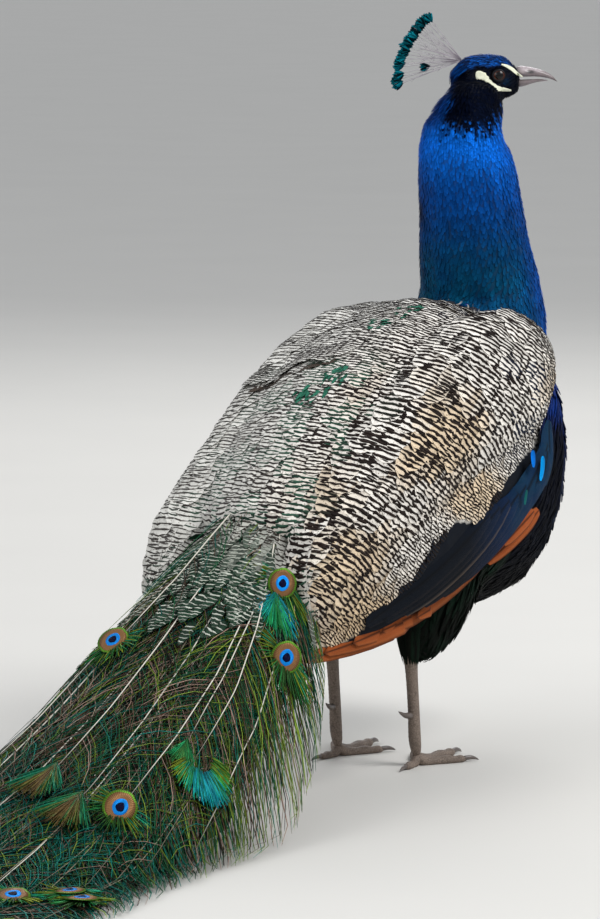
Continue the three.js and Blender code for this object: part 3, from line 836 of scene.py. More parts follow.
# Outlines of a feather: shares of its length, and its width there over its full width.
CONTOUR = (np.array([0.0, 0.28, 0.56, 0.80, 0.94]), np.array([0.40, 0.82, 1.0, 0.84, 0.46]))
LOCK = (np.array([0.0, 0.3, 0.6, 0.85]), np.array([0.6, 1.0, 0.75, 0.35]))
HAIR = (np.array([0.0, 0.4, 0.8]), np.array([0.9, 1.0, 0.5]))


class Vanes:
    """Many feathers' centre lines with their sections: places, across, up, half widths."""

    def __init__(self, shares, centres, across, up, half, thick, camber):
        self.shares, self.centres, self.across, self.up = shares, centres, across, up
        self.half, self.thick, self.camber = half, thick, camber
        self.length = np.linalg.norm(np.diff(centres, axis=1), axis=-1).sum(1)
        self.width = half.max(1) * 2

    def mesh(self, columns=3):
        return sweep(self.centres, self.across, self.up, self.half, self.half * 2 * self.thick, columns,
                     self.camber)

    def at(self, rows, t):
        """Any of the vanes' rows read at shares t (n, m) of their length."""
        i = np.clip(np.searchsorted(self.shares, t) - 1, 0, len(self.shares) - 2)
        part = (t - self.shares[i]) / (self.shares[i + 1] - self.shares[i])
        n = np.arange(len(rows))[:, None]
        if rows.ndim == 3:
            part = part[..., None]
        return rows[n, i] * (1 - part) + rows[n, i + 1] * part


def lay(surface, roots, length, width, lift, profile, seed, sink=0.6 * MM, thick=0.06, camber=0.14,
        stray=0.08, even=0.6):
    """Vanes that start at skin places and follow the lie of the coat, rising to `lift`."""
    rng = np.random.RandomState(seed)
    shares, widths = profile
    n, s = len(roots), len(shares)
    length = length * rng.uniform(0.85, 1.15, n)
    width = width * rng.uniform(0.88, 1.12, n)
    lift = lift * rng.uniform(even, 2 - even, n)
    centres, ups, aways = np.empty((n, s, 3)), np.empty((n, s, 3)), np.empty((n, s, 3))
    place, normal = surface.drop(roots)
    way = lie_of_coat(place)
    turn = rng.normal(0, stray, n)
    for k in range(s):
        if k:
            place, normal = surface.drop(place + way * (length * (shares[k] - shares[k - 1]))[:, None])
            way = 0.5 * way + 0.5 * lie_of_coat(place)
        way = square_to(way, normal)
        if k == 0:
            across = np.cross(normal, way)
            way = unit(way * np.cos(turn)[:, None] + across * np.sin(turn)[:, None])
        height = -sink + (lift + sink) * shares[k] ** 0.8
        centres[:, k] = place + normal * height[:, None]
        ups[:, k] = normal
        aways[:, k] = np.cross(way, normal)
    roll = rng.normal(0, 0.06, n)[:, None, None]
    aways, ups = rolled(aways, ups, roll)
    half = width[:, None] * 0.5 * widths[None]
    return Vanes(shares, centres, aways, ups, half, thick, camber)


def slivers(centres, across, up, half, high):
    """Closed three-sided strands along many centre lines: flat below, ridged on top."""
    n, s = half.shape
    a = np.array([-1.0, 1.0, 0.0])
    b = np.array([-0.3, -0.3, 0.7])
    points = (centres[:, :, None] + across[:, :, None] * (half[..., None] * a)[..., None]
              + up[:, :, None] * (high[..., None] * b)[..., None])
    first = centres[:, 0] * 1.1 - centres[:, 1] * 0.1
    last = centres[:, -1] * 1.1 - centres[:, -2] * 0.1
    along = np.linspace(0, 1, s)
    place = poled(np.stack(np.broadcast_arrays(np.array([0.0, 1.0, 0.5])[None], along[:, None]), -1))
    place = np.tile(place, (n, 1))
    points = np.concatenate([points.reshape(n, s * 3, 3), first[:, None], last[:, None]], 1).reshape(-1, 3)
    return points, ring_faces(n, s, 3), place, s * 3 + 2


def bars_on(vanes, period, seed, first=0.30, last=0.94, count=4, fill=(0.20, 0.28), slant=0.0, slim=1.0,
            steps=8):
    """Wavering bars right across the open ends of the vanes. On upright vanes they slant with the barbs."""
    rng = np.random.RandomState(seed)
    n = len(vanes.centres)
    t = last - (np.arange(count)[None] + rng.uniform(0, 0.4, (n, 1))) * (period / vanes.length)[:, None]
    used = t > first
    owner, middle = np.nonzero(used)[0], t[used][:, None]
    m = len(owner)
    q = np.linspace(-0.97, 0.97, steps)[None] + rng.uniform(-0.03, 0.03, (m, steps))
    part = Vanes(vanes.shares, *(rows[owner] for rows in (vanes.centres, vanes.across, vanes.up, vanes.half)),
                 0, 0)
    rise = part.at(part.across, middle)[:, 0, 2:]
    gap = period[owner][:, None]
    bend = part.half.max(1)[:, None] * (slant * rise * q - rng.uniform(0.05, 0.25, (m, 1)) * q * q)
    place = middle + (bend + rng.normal(0, 0.09, (m, steps)) * gap) / part.length[:, None]
    end = vanes.shares[-1]
    pinch = smoothstep(end + 0.03, end - 0.02, place)
    place = np.clip(place, vanes.shares[0], end)
    centre, half = part.at(part.centres, place), part.at(part.half, place)
    across, up = unit(part.at(part.across, place)), unit(part.at(part.up, place))
    over = vanes.thick * half * (1 - q * q) - vanes.camber * half * q * q + 0.22 * MM
    lines = centre + across * (q * half)[..., None] + up * over[..., None]
    thick = gap * rng.uniform(*fill, (m, 1)) * (1.05 - 0.6 * np.abs(q) ** 5)
    thick = thick * rng.uniform(0.72, 1.28, (m, steps)) * pinch * np.broadcast_to(slim, n)[owner][:, None]
    points, faces, where, size = slivers(lines, np.cross(up, across), up, thick,
                                         np.full((m, steps), 0.35 * MM))
    return points, faces, where, size, owner


PATCH = 0.003
FLOOR_GAP = 0.5 * MM
LIE_FLAT = 0.4 * MM


def bake_patches(root_uv, where, size, patch=PATCH):
    """A small patch of the bake map for each feather, at its root."""
    local = where.reshape(len(root_uv), size, 2)
    return np.clip(root_uv[:, None] + (local - 0.5) * patch, 0, 1).reshape(-1, 2)


def feather_uvs(root_uv, where, size, vanes, patch, seed):
    """The bake patch at each root, and the vane's own place in metres with a chance shift."""
    rng = np.random.RandomState(seed)
    n = len(root_uv)
    local = where.reshape(n, size, 2)
    shift = rng.uniform(0, 1, (n, 1, 1)) * np.array([0.0, 1.0])
    sideways, along = (local[..., 0] - 0.5) * vanes.width[:, None], local[..., 1] * vanes.length[:, None]
    vane = np.stack([sideways, along], -1) + shift
    return {"OFBake": bake_patches(root_uv, where, size, patch), "Vane": vane.reshape(-1, 2)}


def shade_along(tone, where, size, root=0.7, tip=1.08):
    """Feather colours darker at the root, a painted shade where other feathers cover it, and a little lighter
    at the tip.
    """
    along = where.reshape(len(tone), size, 2)[..., 1]
    return (tone[:, None] * (root + (tip - root) * along)[..., None]).reshape(-1, 3)


def add_piece(name, points, faces, material, uvs, tone, slot, nodes=(), **more):
    """One finished piece, facing outwards, that hides the nodes it stands in for. Its slot is not used."""
    made = outward(mesh_object(name, points, faces, MATERIALS[material], uvs, tone, **more))
    if nodes:
        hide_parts(*nodes)


def coat_piece(name, vanes, root_uv, tone, material, slot, seed, columns=3):
    """One piece of vanes, each with its patch of the bake map at its root."""
    points, faces, where, size = vanes.mesh(columns)
    keep_above(points, FLOOR_GAP)
    uvs = feather_uvs(root_uv, where, size, vanes, PATCH, seed)
    add_piece(name, points, faces, material, uvs, shade_along(tone, where, size), slot, sharp=70)


def bar_piece(name, vanes, root_uv, period, slot, seed, colour, **more):
    """The bars that lie on a piece of vanes, in each vane's bar colour."""
    points, faces, where, size, owner = bars_on(vanes, period, seed, **more)
    rng = np.random.RandomState(seed + 9)
    tone = colour[owner] * rng.uniform(0.6, 1.5, (len(owner), 1))
    uvs = {"OFBake": bake_patches(root_uv[owner], where, size)}
    add_piece(name, points, faces, "bar", uvs, np.repeat(tone, size, 0), slot)


def tract(name, labels, spacing, length, width, lift, profile, material, slot, seed, keep=None, bars=None,
          colour=None, vary=(0.82, 1.18), barring=None, **more):
    """One coat piece over the parts named in labels."""
    surface = SKIN["surface"]
    wanted = np.isin(surface.labels, labels)
    if keep is not None:
        wanted &= keep(surface.points)
    each = spacing(surface.points) if callable(spacing) else np.full(len(surface.points), spacing)
    kept = scatter(surface, wanted, each, seed)
    roots = surface.points[kept]
    value = lambda given: given(roots) if callable(given) else np.full(len(roots), given)
    vanes = lay(surface, roots, value(length), value(width), value(lift), profile, seed + 1, **more)
    rng = np.random.RandomState(seed + 2)
    tone = plumage_tone(roots, surface.labels[kept]) if colour is None else even_tone(len(roots), colour)
    tone = tone * rng.uniform(*vary, (len(roots), 1))
    root_uv = unwrap(roots)
    coat_piece(name, vanes, root_uv, tone, material, slot, seed + 3)
    if bars is not None:
        bar_piece(name + "_bars", vanes, root_uv, bars(roots), slot, seed + 4, bar_tone(roots),
                  slim=1 - 0.35 * smoothstep(-0.04, 0.05, roots[:, 0]), **(barring or {}))


# ------------------------------------------------------------------ head pieces
# Measures of the head are in millimetres in its own frame. A bill station is x, y, z of its middle,
# half width and half height.
EYE_RADIUS = 8.3
EYE_PLACE = (13.4, -10.0, 0.8)
UPPER_BILL = [(0, -28, 4.4, 7.2, 6.6), (0, -40, 3.6, 6.6, 6.0), (0, -51, 2.8, 5.0, 4.7),
              (0, -61, 0.8, 3.5, 3.5), (0, -69, -2.4, 1.9, 2.0), (0, -75, -6.4, 0.5, 0.6)]
LOWER_BILL = [(0, -26, -8.2, 6.0, 4.4), (0, -37, -7.8, 5.4, 4.1), (0, -46, -6.2, 4.2, 2.7),
              (0, -57, -4.9, 2.5, 1.5), (0, -65, -5.0, 0.8, 0.6)]


def head_piece(name, parts, material, slot, tone, *nodes, values=None):
    """One piece of the head, from parts in its own frame."""
    points, faces, place = joined(parts)
    add_piece(name, head_to_bird(points), faces, material, {"OFBake": inset(place)}, tone(points), slot,
              nodes, values=values)


def build_bill():
    """Both halves of the bill, with a ridge, a keel and two nostrils above."""
    def upper_shape(share, angle):
        ridge = 1 + 0.10 * np.exp(-((angle - math.pi / 2) ** 2) / 0.1)
        keel = 1 - 0.22 * np.exp(-((angle - 1.5 * math.pi) ** 2) / 0.5)
        nostril = 1 - 0.34 * np.exp(-((share - 0.36) / 0.085) ** 2) * (
            np.exp(-((angle - 0.42) / 0.2) ** 2) + np.exp(-((angle - math.pi + 0.42) / 0.2) ** 2))
        return ridge * keel * nostril

    def tone(points):
        base = even_tone(len(points), 0x7E7273)
        # Paler along the top of the bill: a painted highlight.
        base = blend(base, 0xB4A8AB, smoothstep(1, 5, points[:, 2] + 0.10 * (points[:, 1] + 40)) * 0.8)
        base = blend(base, 0x463C3A, 0.7 * smoothstep(-66, -76, points[:, 1]))
        base = blend(base, 0x3A3230, 0.7 * smoothstep(-1.0, -2.4, points[:, 2] - 0.12 * (points[:, 1] + 45))
                     * smoothstep(-5.5, -3.5, points[:, 2]))
        slit = sum(around(points, (side, -45.5, 4.2), (3.0, 6.0, 1.8)) for side in (5.0, -5.0))
        base = blend(base, 0x0E0B0A, np.clip(1.5 * slit, 0, 1))
        return blend(base, 0x4E4440, 0.6 * smoothstep(-38, -30, points[:, 1]))

    head_piece("bill_over", [loft(UPPER_BILL, 32, 44, shape=upper_shape)], "horn", "horn", tone, "bill_upper")
    head_piece("bill_under", [loft(LOWER_BILL, 28, 32)], "horn", "horn", tone, "bill_lower")


LID_STEPS, LID_SIDES = 48, 10


def lid_ring(centre, gaze, u, v, opening, thick):
    """A soft ring of lid that hugs the eyeball, wider than it is high."""
    steps, sides = np.arange(LID_STEPS)[:, None], np.arange(LID_SIDES)[None]
    ring = np.arange(LID_STEPS) * 2 * math.pi / LID_STEPS
    reach = opening * (1 + 0.10 * np.cos(2 * ring))
    middle = centre + EYE_RADIUS * 1.01 * (np.cos(reach)[:, None] * gaze + np.sin(reach)[:, None] * (
        u * np.cos(ring)[:, None] + v * np.sin(ring)[:, None]))
    away = unit(middle - centre)
    along = unit(np.roll(middle, -1, 0) - np.roll(middle, 1, 0))
    wide = np.cross(along, away)
    turn = np.arange(LID_SIDES) * 2 * math.pi / LID_SIDES
    tube = (middle[:, None] + wide[:, None] * (np.cos(turn) * thick)[:, None]
            + away[:, None] * (np.sin(turn) * thick * 0.7)[:, None])
    here, after = steps * LID_SIDES, (steps + 1) % LID_STEPS * LID_SIDES
    beside = (sides + 1) % LID_SIDES
    quads = np.stack([here + sides, here + beside, after + beside, after + sides], -1).reshape(-1, 4)
    spot = np.stack(np.broadcast_arrays(turn[None], ring[:, None]), -1).reshape(-1, 2) / (2 * math.pi)
    return tube.reshape(-1, 3), [quads], spot


EYE_RINGS, EYE_SIDES = 30, 36
# How wide each ring of lid opens, as an angle from the gaze, and its thickness in mm.
LIDS = ((0.84, 1.0), (0.97, 1.25), (1.12, 1.3))


def build_eyes():
    """Each eyeball as a sphere about its gaze, with three rings of lid."""
    for sign, name in SIDES:
        centre = np.array([sign * EYE_PLACE[0], *EYE_PLACE[1:]])
        turns = np.linspace(0.05, math.pi - 0.05, EYE_RINGS)
        angle = np.arange(EYE_SIDES) * 2 * math.pi / EYE_SIDES
        gaze = unit(np.array([sign, -0.12, 0.05]))
        u = unit(np.cross(gaze, UPWARD))
        v = np.cross(u, gaze)
        flat = (u * np.cos(angle)[:, None] + v * np.sin(angle)[:, None])
        ball = centre + EYE_RADIUS * (np.cos(turns)[:, None, None] * gaze
                                      + np.sin(turns)[:, None, None] * flat[None])
        ball = np.concatenate([ball.reshape(-1, 3), centre + EYE_RADIUS * np.array([gaze, -gaze])])
        place = poled(np.stack(np.broadcast_arrays(angle[None] / (2 * math.pi), turns[:, None] / math.pi),
                               -1))
        ring = np.concatenate([np.repeat(turns, EYE_SIDES), [0, math.pi]]) / math.pi
        head_piece(f"eyeball_{name}", [(ball, ring_faces(1, EYE_RINGS, EYE_SIDES), place)], "eye", "eye",
                   lambda p: even_tone(len(p), 0x2A130C), f"eye_{name}", values={"gaze": ring})
        head_piece(f"eyelids_{name}", [lid_ring(centre, gaze, u, v, *lid) for lid in LIDS], "bare",
                   "blue_plumage", lambda p: even_tone(len(p), 0x0A0C14))


# Bare white patches of one side of the face: y, z of the middle and its half height, in mm.
BROW_PATCH = [(-13, 13.2, 0.7), (-18, 11.6, 1.5), (-25, 7.6, 1.9), (-31, 2.6, 1.6), (-36, -0.6, 0.9)]
CHEEK_PATCH = [(14, 5.5, 1.2), (11.5, 2.5, 5.0), (8, -1.8, 6.2), (3, -6.6, 5.2), (-3, -10.4, 3.9),
               (-10, -13.2, 2.7), (-17.6, -14.4, 1.9), (-24, -15.6, 0.9)]


def patch_rows(patch, count):
    """The middle line (y, z) of a bare patch, and its half height along it."""
    rows = curve(np.array([(y, z, 0, half) for y, z, half in patch]), np.linspace(0, 1, count))
    return rows[:, :2], rows[:, 3]


def off_bare_patches(h, margin):
    """True where head places lie clear of the bare patches, by a margin in millimetres."""
    clear = np.ones(len(h), bool)
    for patch in (BROW_PATCH, CHEEK_PATCH):
        for spot, half in zip(*patch_rows(patch, 22)):
            clear &= np.hypot(h[:, 1] - spot[0], h[:, 2] - spot[1]) > half + margin
    return clear | (np.abs(h[:, 0]) < 5)


PAD_STEPS, PAD_POINTS = 26, 9


def build_face_patches():
    """Thin pads of bare skin, laid on each side of the face from outside it."""
    surface = SKIN["surface"]
    offsets = np.linspace(-1, 1, PAD_POINTS)
    for sign, name in SIDES:
        inward = unit(head_to_bird([[0, 0, 0]])[0] - head_to_bird([[sign, 0, 0]])[0])
        parts = []
        for patch in (BROW_PATCH, CHEEK_PATCH):
            middle, half = patch_rows(patch, PAD_STEPS)
            half = half * (1 + 0.10 * np.sin(np.arange(PAD_STEPS) * 1.9) * (half > 2))
            way = unit(np.gradient(middle, axis=0))
            wide = np.stack([-way[:, 1], way[:, 0]], -1) * half[:, None]
            flat = middle[:, None] + wide[:, None] * offsets[:, None]
            beside = np.full((PAD_STEPS * PAD_POINTS, 1), sign * 26.0)
            start = head_to_bird(np.concatenate([beside, flat.reshape(-1, 2)], 1))
            found = []
            for spot in start:
                hit = surface.tree.ray_cast(Vector(spot), Vector(inward), 0.05)[0]
                found.append(hit if hit is not None else Vector(spot + inward * 0.01))
            top = np.array(found).reshape(PAD_STEPS, PAD_POINTS, 3)
            rise = (0.9 + 0.6 * (1 - offsets**4)) * MM
            top = top - inward * rise[None, :, None]
            low = top[:, 1:-1] + inward * 1.8 * MM
            ring = np.concatenate([top, low[:, ::-1]], 1)
            points = np.concatenate([ring.reshape(-1, 3), [ring[0].mean(0), ring[-1].mean(0)]])
            faces = ring_faces(1, PAD_STEPS, 2 * PAD_POINTS - 2)
            parts.append((points, faces, 0.5 + bird_to_head(points)[:, 1:] * 0.008))
        points, faces, place = joined(parts)
        tone = even_tone(len(points), 0xE9E9D2)
        tone = blend(tone, 0xC9CDB0, 0.6 * mottle(points, 0.006, 6))
        add_piece(f"bare_patches_{name}", points, faces, "bare", {"OFBake": place}, tone, "blue_plumage")


# The crest's outline: rise of a shaft in degrees, and its length in mm.
CREST_TIPS = np.array([(52, 62), (33, 63.5), (15.6, 65.5), (1, 69.5), (-12, 74), (-22, 76)])


def build_crest():
    """Bare shafts that fan out from the crown, each with a small blue-green fan at its tip."""
    rng = np.random.RandomState(31)
    count = 29
    rise = 52 - 73.5 * np.linspace(0, 1, count) ** 0.93 + rng.normal(0, 0.7, count)
    length = np.interp(-rise, -CREST_TIPS[:, 0], CREST_TIPS[:, 1]) + rng.normal(0, 0.8, count)
    length[-6] *= 0.60  # one is broken short
    rise, share = np.radians(rise), np.linspace(0, 1, count)
    splay = np.radians(4.5) * ((np.arange(count) % 3) - 1) + rng.normal(0, 0.02, count)
    root = np.stack([1.2 * np.sin(np.arange(count) * 2.4), 31.5 + 3.0 * share, 20.0 - 5.5 * share], -1)
    way = np.stack([np.sin(splay), np.cos(splay) * np.cos(rise), np.sin(rise)], -1)
    steps = np.linspace(0, 1, 7)
    bend = np.stack([np.zeros(count), np.zeros(count), rng.normal(0, 0.8, count)], -1)
    grown = (steps * 1.04 - 0.04)[None, :, None] * (length - 3)[:, None, None]
    path = (root[:, None] + way[:, None] * grown
            + bend[:, None] * np.sin(math.pi * steps)[None, :, None])
    shafts = quills(path, np.tile(np.linspace(0.38, 0.2, 7), (count, 1)), 5)
    tone = [even_tone(len(shafts[0]), 0xA9A0A8)]
    up = unit(UPWARD - way * way[:, 2:3])
    side = np.cross(way, up)
    fans, fan_tone = [], []
    blades = 21
    for k in range(blades):
        spread = (k - (blades - 1) / 2) / ((blades - 1) / 2)
        reach = (13.0 - 3.5 * abs(spread)) * rng.uniform(0.85, 1.1, count)
        base = root + way * (length - 12.5)[:, None]
        aim = unit(way + up * spread * 0.72 + side * rng.uniform(-0.35, 0.35, count)[:, None])
        shares = np.array([0.0, 0.4, 0.8])[None, :, None]
        centres = (base[:, None] + aim[:, None] * (shares * reach[:, None, None])
                   + way[:, None] * shares**2 * 1.2)
        across = unit(np.cross(aim, side))[:, None].repeat(3, 1)
        half = np.tile(np.array([0.4, 0.95, 0.7]), (count, 1))
        made = sweep(centres, across, np.broadcast_to(side[:, None], centres.shape), half, half * 0.8)
        fans.append(made[:3])
        glow = even_tone(count, 0x0C7C8C) * rng.uniform(0.4, 1.25, (count, 1))
        glow = np.where(rng.uniform(size=(count, 1)) < 0.42, linear(0x041C22), glow)
        fan_tone.append(shade_along(glow, made[2], made[3], 0.35, 1.2))
    stray = []
    for k in range(2):
        base = root + way * (length * rng.uniform(0.15, 0.7, count))[:, None]
        for sign in (1, -1):
            aim = unit(way + up * sign * 0.45)
            centres = base[:, None] + aim[:, None] * (np.array([0, 0.5, 1.0])[None, :, None] * 4.0)
            half = np.tile(np.array([0.16, 0.14, 0.08]), (count, 1))
            made = sweep(centres, np.broadcast_to(up[:, None], centres.shape),
                         np.broadcast_to(side[:, None], centres.shape), half, half)
            stray.append(made[:3])
            tone.append(even_tone(len(made[0]), 0x8E868E))
    points, faces, place = joined([shafts[:3]] + stray)
    add_piece("crest_shafts", head_to_bird(points), faces, "shaft", {"OFBake": inset(place)},
              np.concatenate(tone), "crest_plumes", ["crest"])
    points, faces, place = joined(fans)
    uvs = {"OFBake": inset(place), "Vane": place * 0.01}
    add_piece("crest_fans", head_to_bird(points), faces, "glossy", uvs, np.concatenate(fan_tone),
              "crest_plumes")


# ------------------------------------------------------------------ legs
# Measures of the legs are in millimetres. A shank station is x, y, z, half width and half depth.
LEG_PLACE = (50.0, -10.0)
SOLE_GAP = 0.35
HOCK_BACK, HOCK_HEIGHT, ANKLE = 15.0, 138.0, 15.0
SHANK = [(0, HOCK_BACK + 2, HOCK_HEIGHT + 12, 6.4, 7.4), (0, HOCK_BACK, HOCK_HEIGHT, 8.4, 9.4),
         (0, 0.72 * HOCK_BACK, 0.76 * HOCK_HEIGHT, 6.4, 7.6),
         (0, 0.4 * HOCK_BACK, 0.44 * HOCK_HEIGHT, 6.0, 7.2),
         (0, 3, 26, 6.6, 7.6), (0, -1, ANKLE - 6, 7.0, 6.6)]
# Toes: name, turn in degrees, length and half width in mm.
TOES = [("middle", 2, 74, 6.2), ("inner", -34, 54, 5.6), ("outer", 36, 58, 5.6), ("hind", 172, 30, 4.8)]


def toe_parts(angle, length, thick):
    """A toe with its scutes, and its claw, as two limbs."""
    turn = math.radians(angle)
    way = np.array([math.sin(turn), -math.cos(turn)])

    def point(share, size, height=None):
        return (*(way * share * length), 0.62 * size * thick if height is None else height, size * thick,
                0.92 * size * thick)

    rows = [point(-6 / length, 0.9, ANKLE - 6), point(0.02, 1.15, ANKLE - 7.5), point(0.22, 1.08),
            point(0.4, 0.9), point(0.6, 1.02), point(0.78, 0.84), point(0.92, 0.90), point(1.0, 0.5)]
    plates = max(6, int(length / 4.2))

    def scutes(share, around_angle):
        top = np.clip(np.sin(around_angle), 0, 1) ** 0.5
        tooth = (share * plates) % 1.0
        return 1 + 0.055 * top * (tooth**2 - 0.4)

    body = loft(rows, 20, plates * 7, (math.cos(turn), math.sin(turn), 0), scutes)
    keep_above(body[0], SOLE_GAP)
    claw_rows = [(*(way * (length - 5)), thick * 0.66, thick * 0.5, thick * 0.5),
                 (*(way * (length + 6)), thick * 0.76, thick * 0.36, thick * 0.42),
                 (*(way * (length + 12)), thick * 0.46, thick * 0.2, thick * 0.22),
                 (*(way * (length + 15)), 1.1, 0.35, 0.4)]
    claw = loft(claw_rows, 12, 16, (math.cos(turn), math.sin(turn), 0))
    keep_above(claw[0], SOLE_GAP)
    return body, claw


BOOT_FOOT = 0.112
BOOT_LINE = ([0.100, 0.138, 0.190], [0.000, 0.005, 0.002])


def build_legs():
    """Each shank with its toes, and its claws with the spur."""
    def scutes(share, angle):
        front = np.clip(np.cos(angle + math.pi / 2), 0, 1) ** 0.4
        tooth = (share * 30) % 1.0
        return 1 + 0.05 * front * (tooth**2 - 0.4)

    for sign, name in SIDES:
        shank = loft(SHANK, 26, 210, (1, 0, 0), scutes)
        flesh, horn = [shank], []
        for _, angle, length, thick in TOES:
            toe, claw = toe_parts(sign * angle, length, thick)
            flesh.append(toe)
            horn.append(claw)
        horn.append(loft([(0, 8, 56, 4.2, 4.2), (sign * -2, 19, 57, 2.9, 2.9), (sign * -4, 31, 63, 0.6, 0.6)],
                         14, 14))
        shift = np.array([sign * LEG_PLACE[0], LEG_PLACE[1], 0])
        points, faces, place = joined(flesh)
        tone = even_tone(len(points), 0x85766A)
        tone = blend(tone, 0x5E5148, 0.5 * mottle(points * MM, 0.02, 4))
        add_piece(f"leg_{name}", (points + shift) * MM, faces, "scales", {"OFBake": inset(place)}, tone,
                  "leg_scales", [f"shank_{name}", f"foot_{name}"])
        points, faces, place = joined(horn)
        tone = blend(even_tone(len(points), 0x6F655F), 0x3A322E, 0.6 * mottle(points * MM, 0.01, 2))
        add_piece(f"claws_{name}", (points + shift) * MM, faces, "horn", {"OFBake": inset(place)}, tone,
                  "horn", [f"spur_{name}"] + [f"claw_{name}_{toe[0]}" for toe in TOES])


def build_boots():
    """Dark hair-like feathers that hang round the top of each shank."""
    rng = np.random.RandomState(81)
    for sign, name in SIDES:
        n, steps = 150, 5
        turn = rng.uniform(0, 2 * math.pi, n)
        share = np.linspace(0, 1, steps)
        out = np.stack([np.cos(turn), np.sin(turn), np.zeros(n)], -1)
        low = BOOT_FOOT + rng.uniform(0.0, 0.030, n)
        high = low + rng.uniform(0.028, 0.042, n)
        z = high[:, None] + (low - high)[:, None] * share[None]
        wide = np.interp(z, [BOOT_FOOT, BOOT_FOOT + 0.05], [0.0085, 0.0165]) * rng.uniform(0.85, 1.1, (n, 1))
        middle = np.stack([np.full(z.shape, sign * LEG_PLACE[0] * MM), np.interp(z, *BOOT_LINE), z], -1)
        centres = middle + out[:, None] * wide[..., None]
        tangent = unit(np.gradient(centres, axis=1))
        across = unit(np.cross(tangent, out[:, None]))
        half = rng.uniform(0.0026, 0.0040, (n, 1)) * np.array([0.7, 1.0, 0.9, 0.6, 0.25])[None]
        vanes = Vanes(share, centres, across, np.cross(across, tangent), half, 0.12, 0.2)
        tone = blend(even_tone(n, 0x0D0A08), 0x0C2A1C, 0.5 * rng.uniform(size=n))
        tone = tone * rng.uniform(0.6, 1.5, (n, 1))
        coat_piece(f"boot_{name}", vanes, unwrap(centres[:, 0]), tone, "soft", "belly_plumage", 82)


# ------------------------------------------------------------------ wings
def over_wing(surface, sign, y, z):
    """How far out the wing's side lies at places (y, z), eased along the row."""
    out = []
    for a, b in zip(y, z):
        hit = surface.tree.ray_cast(Vector((sign * 0.25, a, b)), Vector((-sign, 0, 0)), 0.3)[0]
        if hit is None or hit.x * sign < 0.03:
            hit = surface.tree.find_nearest(Vector((sign * 0.12, a, b)))[0]
        out.append(hit.x)
    return np.convolve(np.pad(out, 2, mode="edge"), np.ones(5) / 5, mode="valid")


def flight_feather(surface, sign, start, end, lift, bow, steps):
    """The centre line of a long wing feather from (y, z) to (y, z), with its sideways and up."""
    t = np.linspace(0, 1, steps)
    y = start[0] + (end[0] - start[0]) * t
    z = start[1] + (end[1] - start[1]) * t - bow * np.sin(math.pi * t)
    path = np.stack([over_wing(surface, sign, y, z), y, z], -1)
    tangent = unit(np.gradient(path, axis=0))
    up = np.array([sign, 0, 0.2])
    up = unit(up - tangent * (tangent @ up)[:, None])
    return path + up * lift, np.cross(tangent, up), up


# Ends of the wing's long feathers, as (y, z) of root and tip, width and colour, from the
# hindmost and longest to the foremost.
PRIMARIES = [
    ((-0.07, 0.232), (0.262, 0.158), 0.026, 0.016), ((-0.07, 0.236), (0.232, 0.162), 0.026, 0.016),
    ((-0.07, 0.240), (0.190, 0.167), 0.026, 0.014), ((-0.08, 0.244), (0.140, 0.173), 0.026, 0.012),
    ((-0.10, 0.246), (0.085, 0.180), 0.022, 0.010), ((-0.12, 0.250), (0.030, 0.190), 0.019, 0.006),
    ((-0.13, 0.256), (-0.014, 0.202), 0.016, 0.004)]
SECONDARIES = [
    ((-0.02, 0.275), (0.178, 0.185), 0.028, 0.006), ((-0.04, 0.280), (0.150, 0.187), 0.030, 0.006),
    ((-0.06, 0.285), (0.118, 0.190), 0.032, 0.006), ((-0.08, 0.290), (0.085, 0.195), 0.034, 0.006),
    ((-0.10, 0.300), (0.050, 0.201), 0.034, 0.006), ((-0.115, 0.31), (0.014, 0.211), 0.034, 0.006),
    ((-0.125, 0.32), (-0.018, 0.223), 0.034, 0.005), ((-0.135, 0.325), (-0.046, 0.238), 0.032, 0.004),
    ((-0.145, 0.335), (-0.070, 0.254), 0.030, 0.003), ((-0.155, 0.345), (-0.092, 0.266), 0.028, 0.002),
    ((-0.158, 0.355), (-0.116, 0.280), 0.024, 0.0), ((-0.160, 0.360), (-0.136, 0.296), 0.020, 0.0)]
ALULA = [((-0.148, 0.264), (-0.067, 0.217), 0.021, 0.001), ((-0.134, 0.264), (-0.078, 0.236), 0.018, 0.0)]
# The kinds of long feather: name, rows, colour, slot and lift in mm.
FLIGHT_KINDS = (("primaries", PRIMARIES, 0x9C5026, "rufous_flight_feathers", 1.0),
                ("alula", ALULA, 0xA6542A, "rufous_flight_feathers", 13.0),
                ("secondaries", SECONDARIES, 0x060D17, "dark_flight_feathers", 4.5))
# Painted glints: bright vanes over the secondaries that stand in for highlights, as (y, z) of root and tip,
# and width.
GLINTS = [((-0.106, 0.3345), (-0.101, 0.3175), 0.009), ((-0.1235, 0.327), (-0.1195, 0.304), 0.0085),
          ((-0.084, 0.298), (-0.085, 0.282), 0.006)]
GLINT_COLOURS, GLINT_LIFT = (0x0A78E0, 0x08A8FF, 0x1B6A68), 14.2 * MM
FLIGHT_SHAPE = np.array([0.5, 0.8, 0.95, 1.0, 1.0, 1.0, 0.98, 0.93, 0.84, 0.68, 0.42])


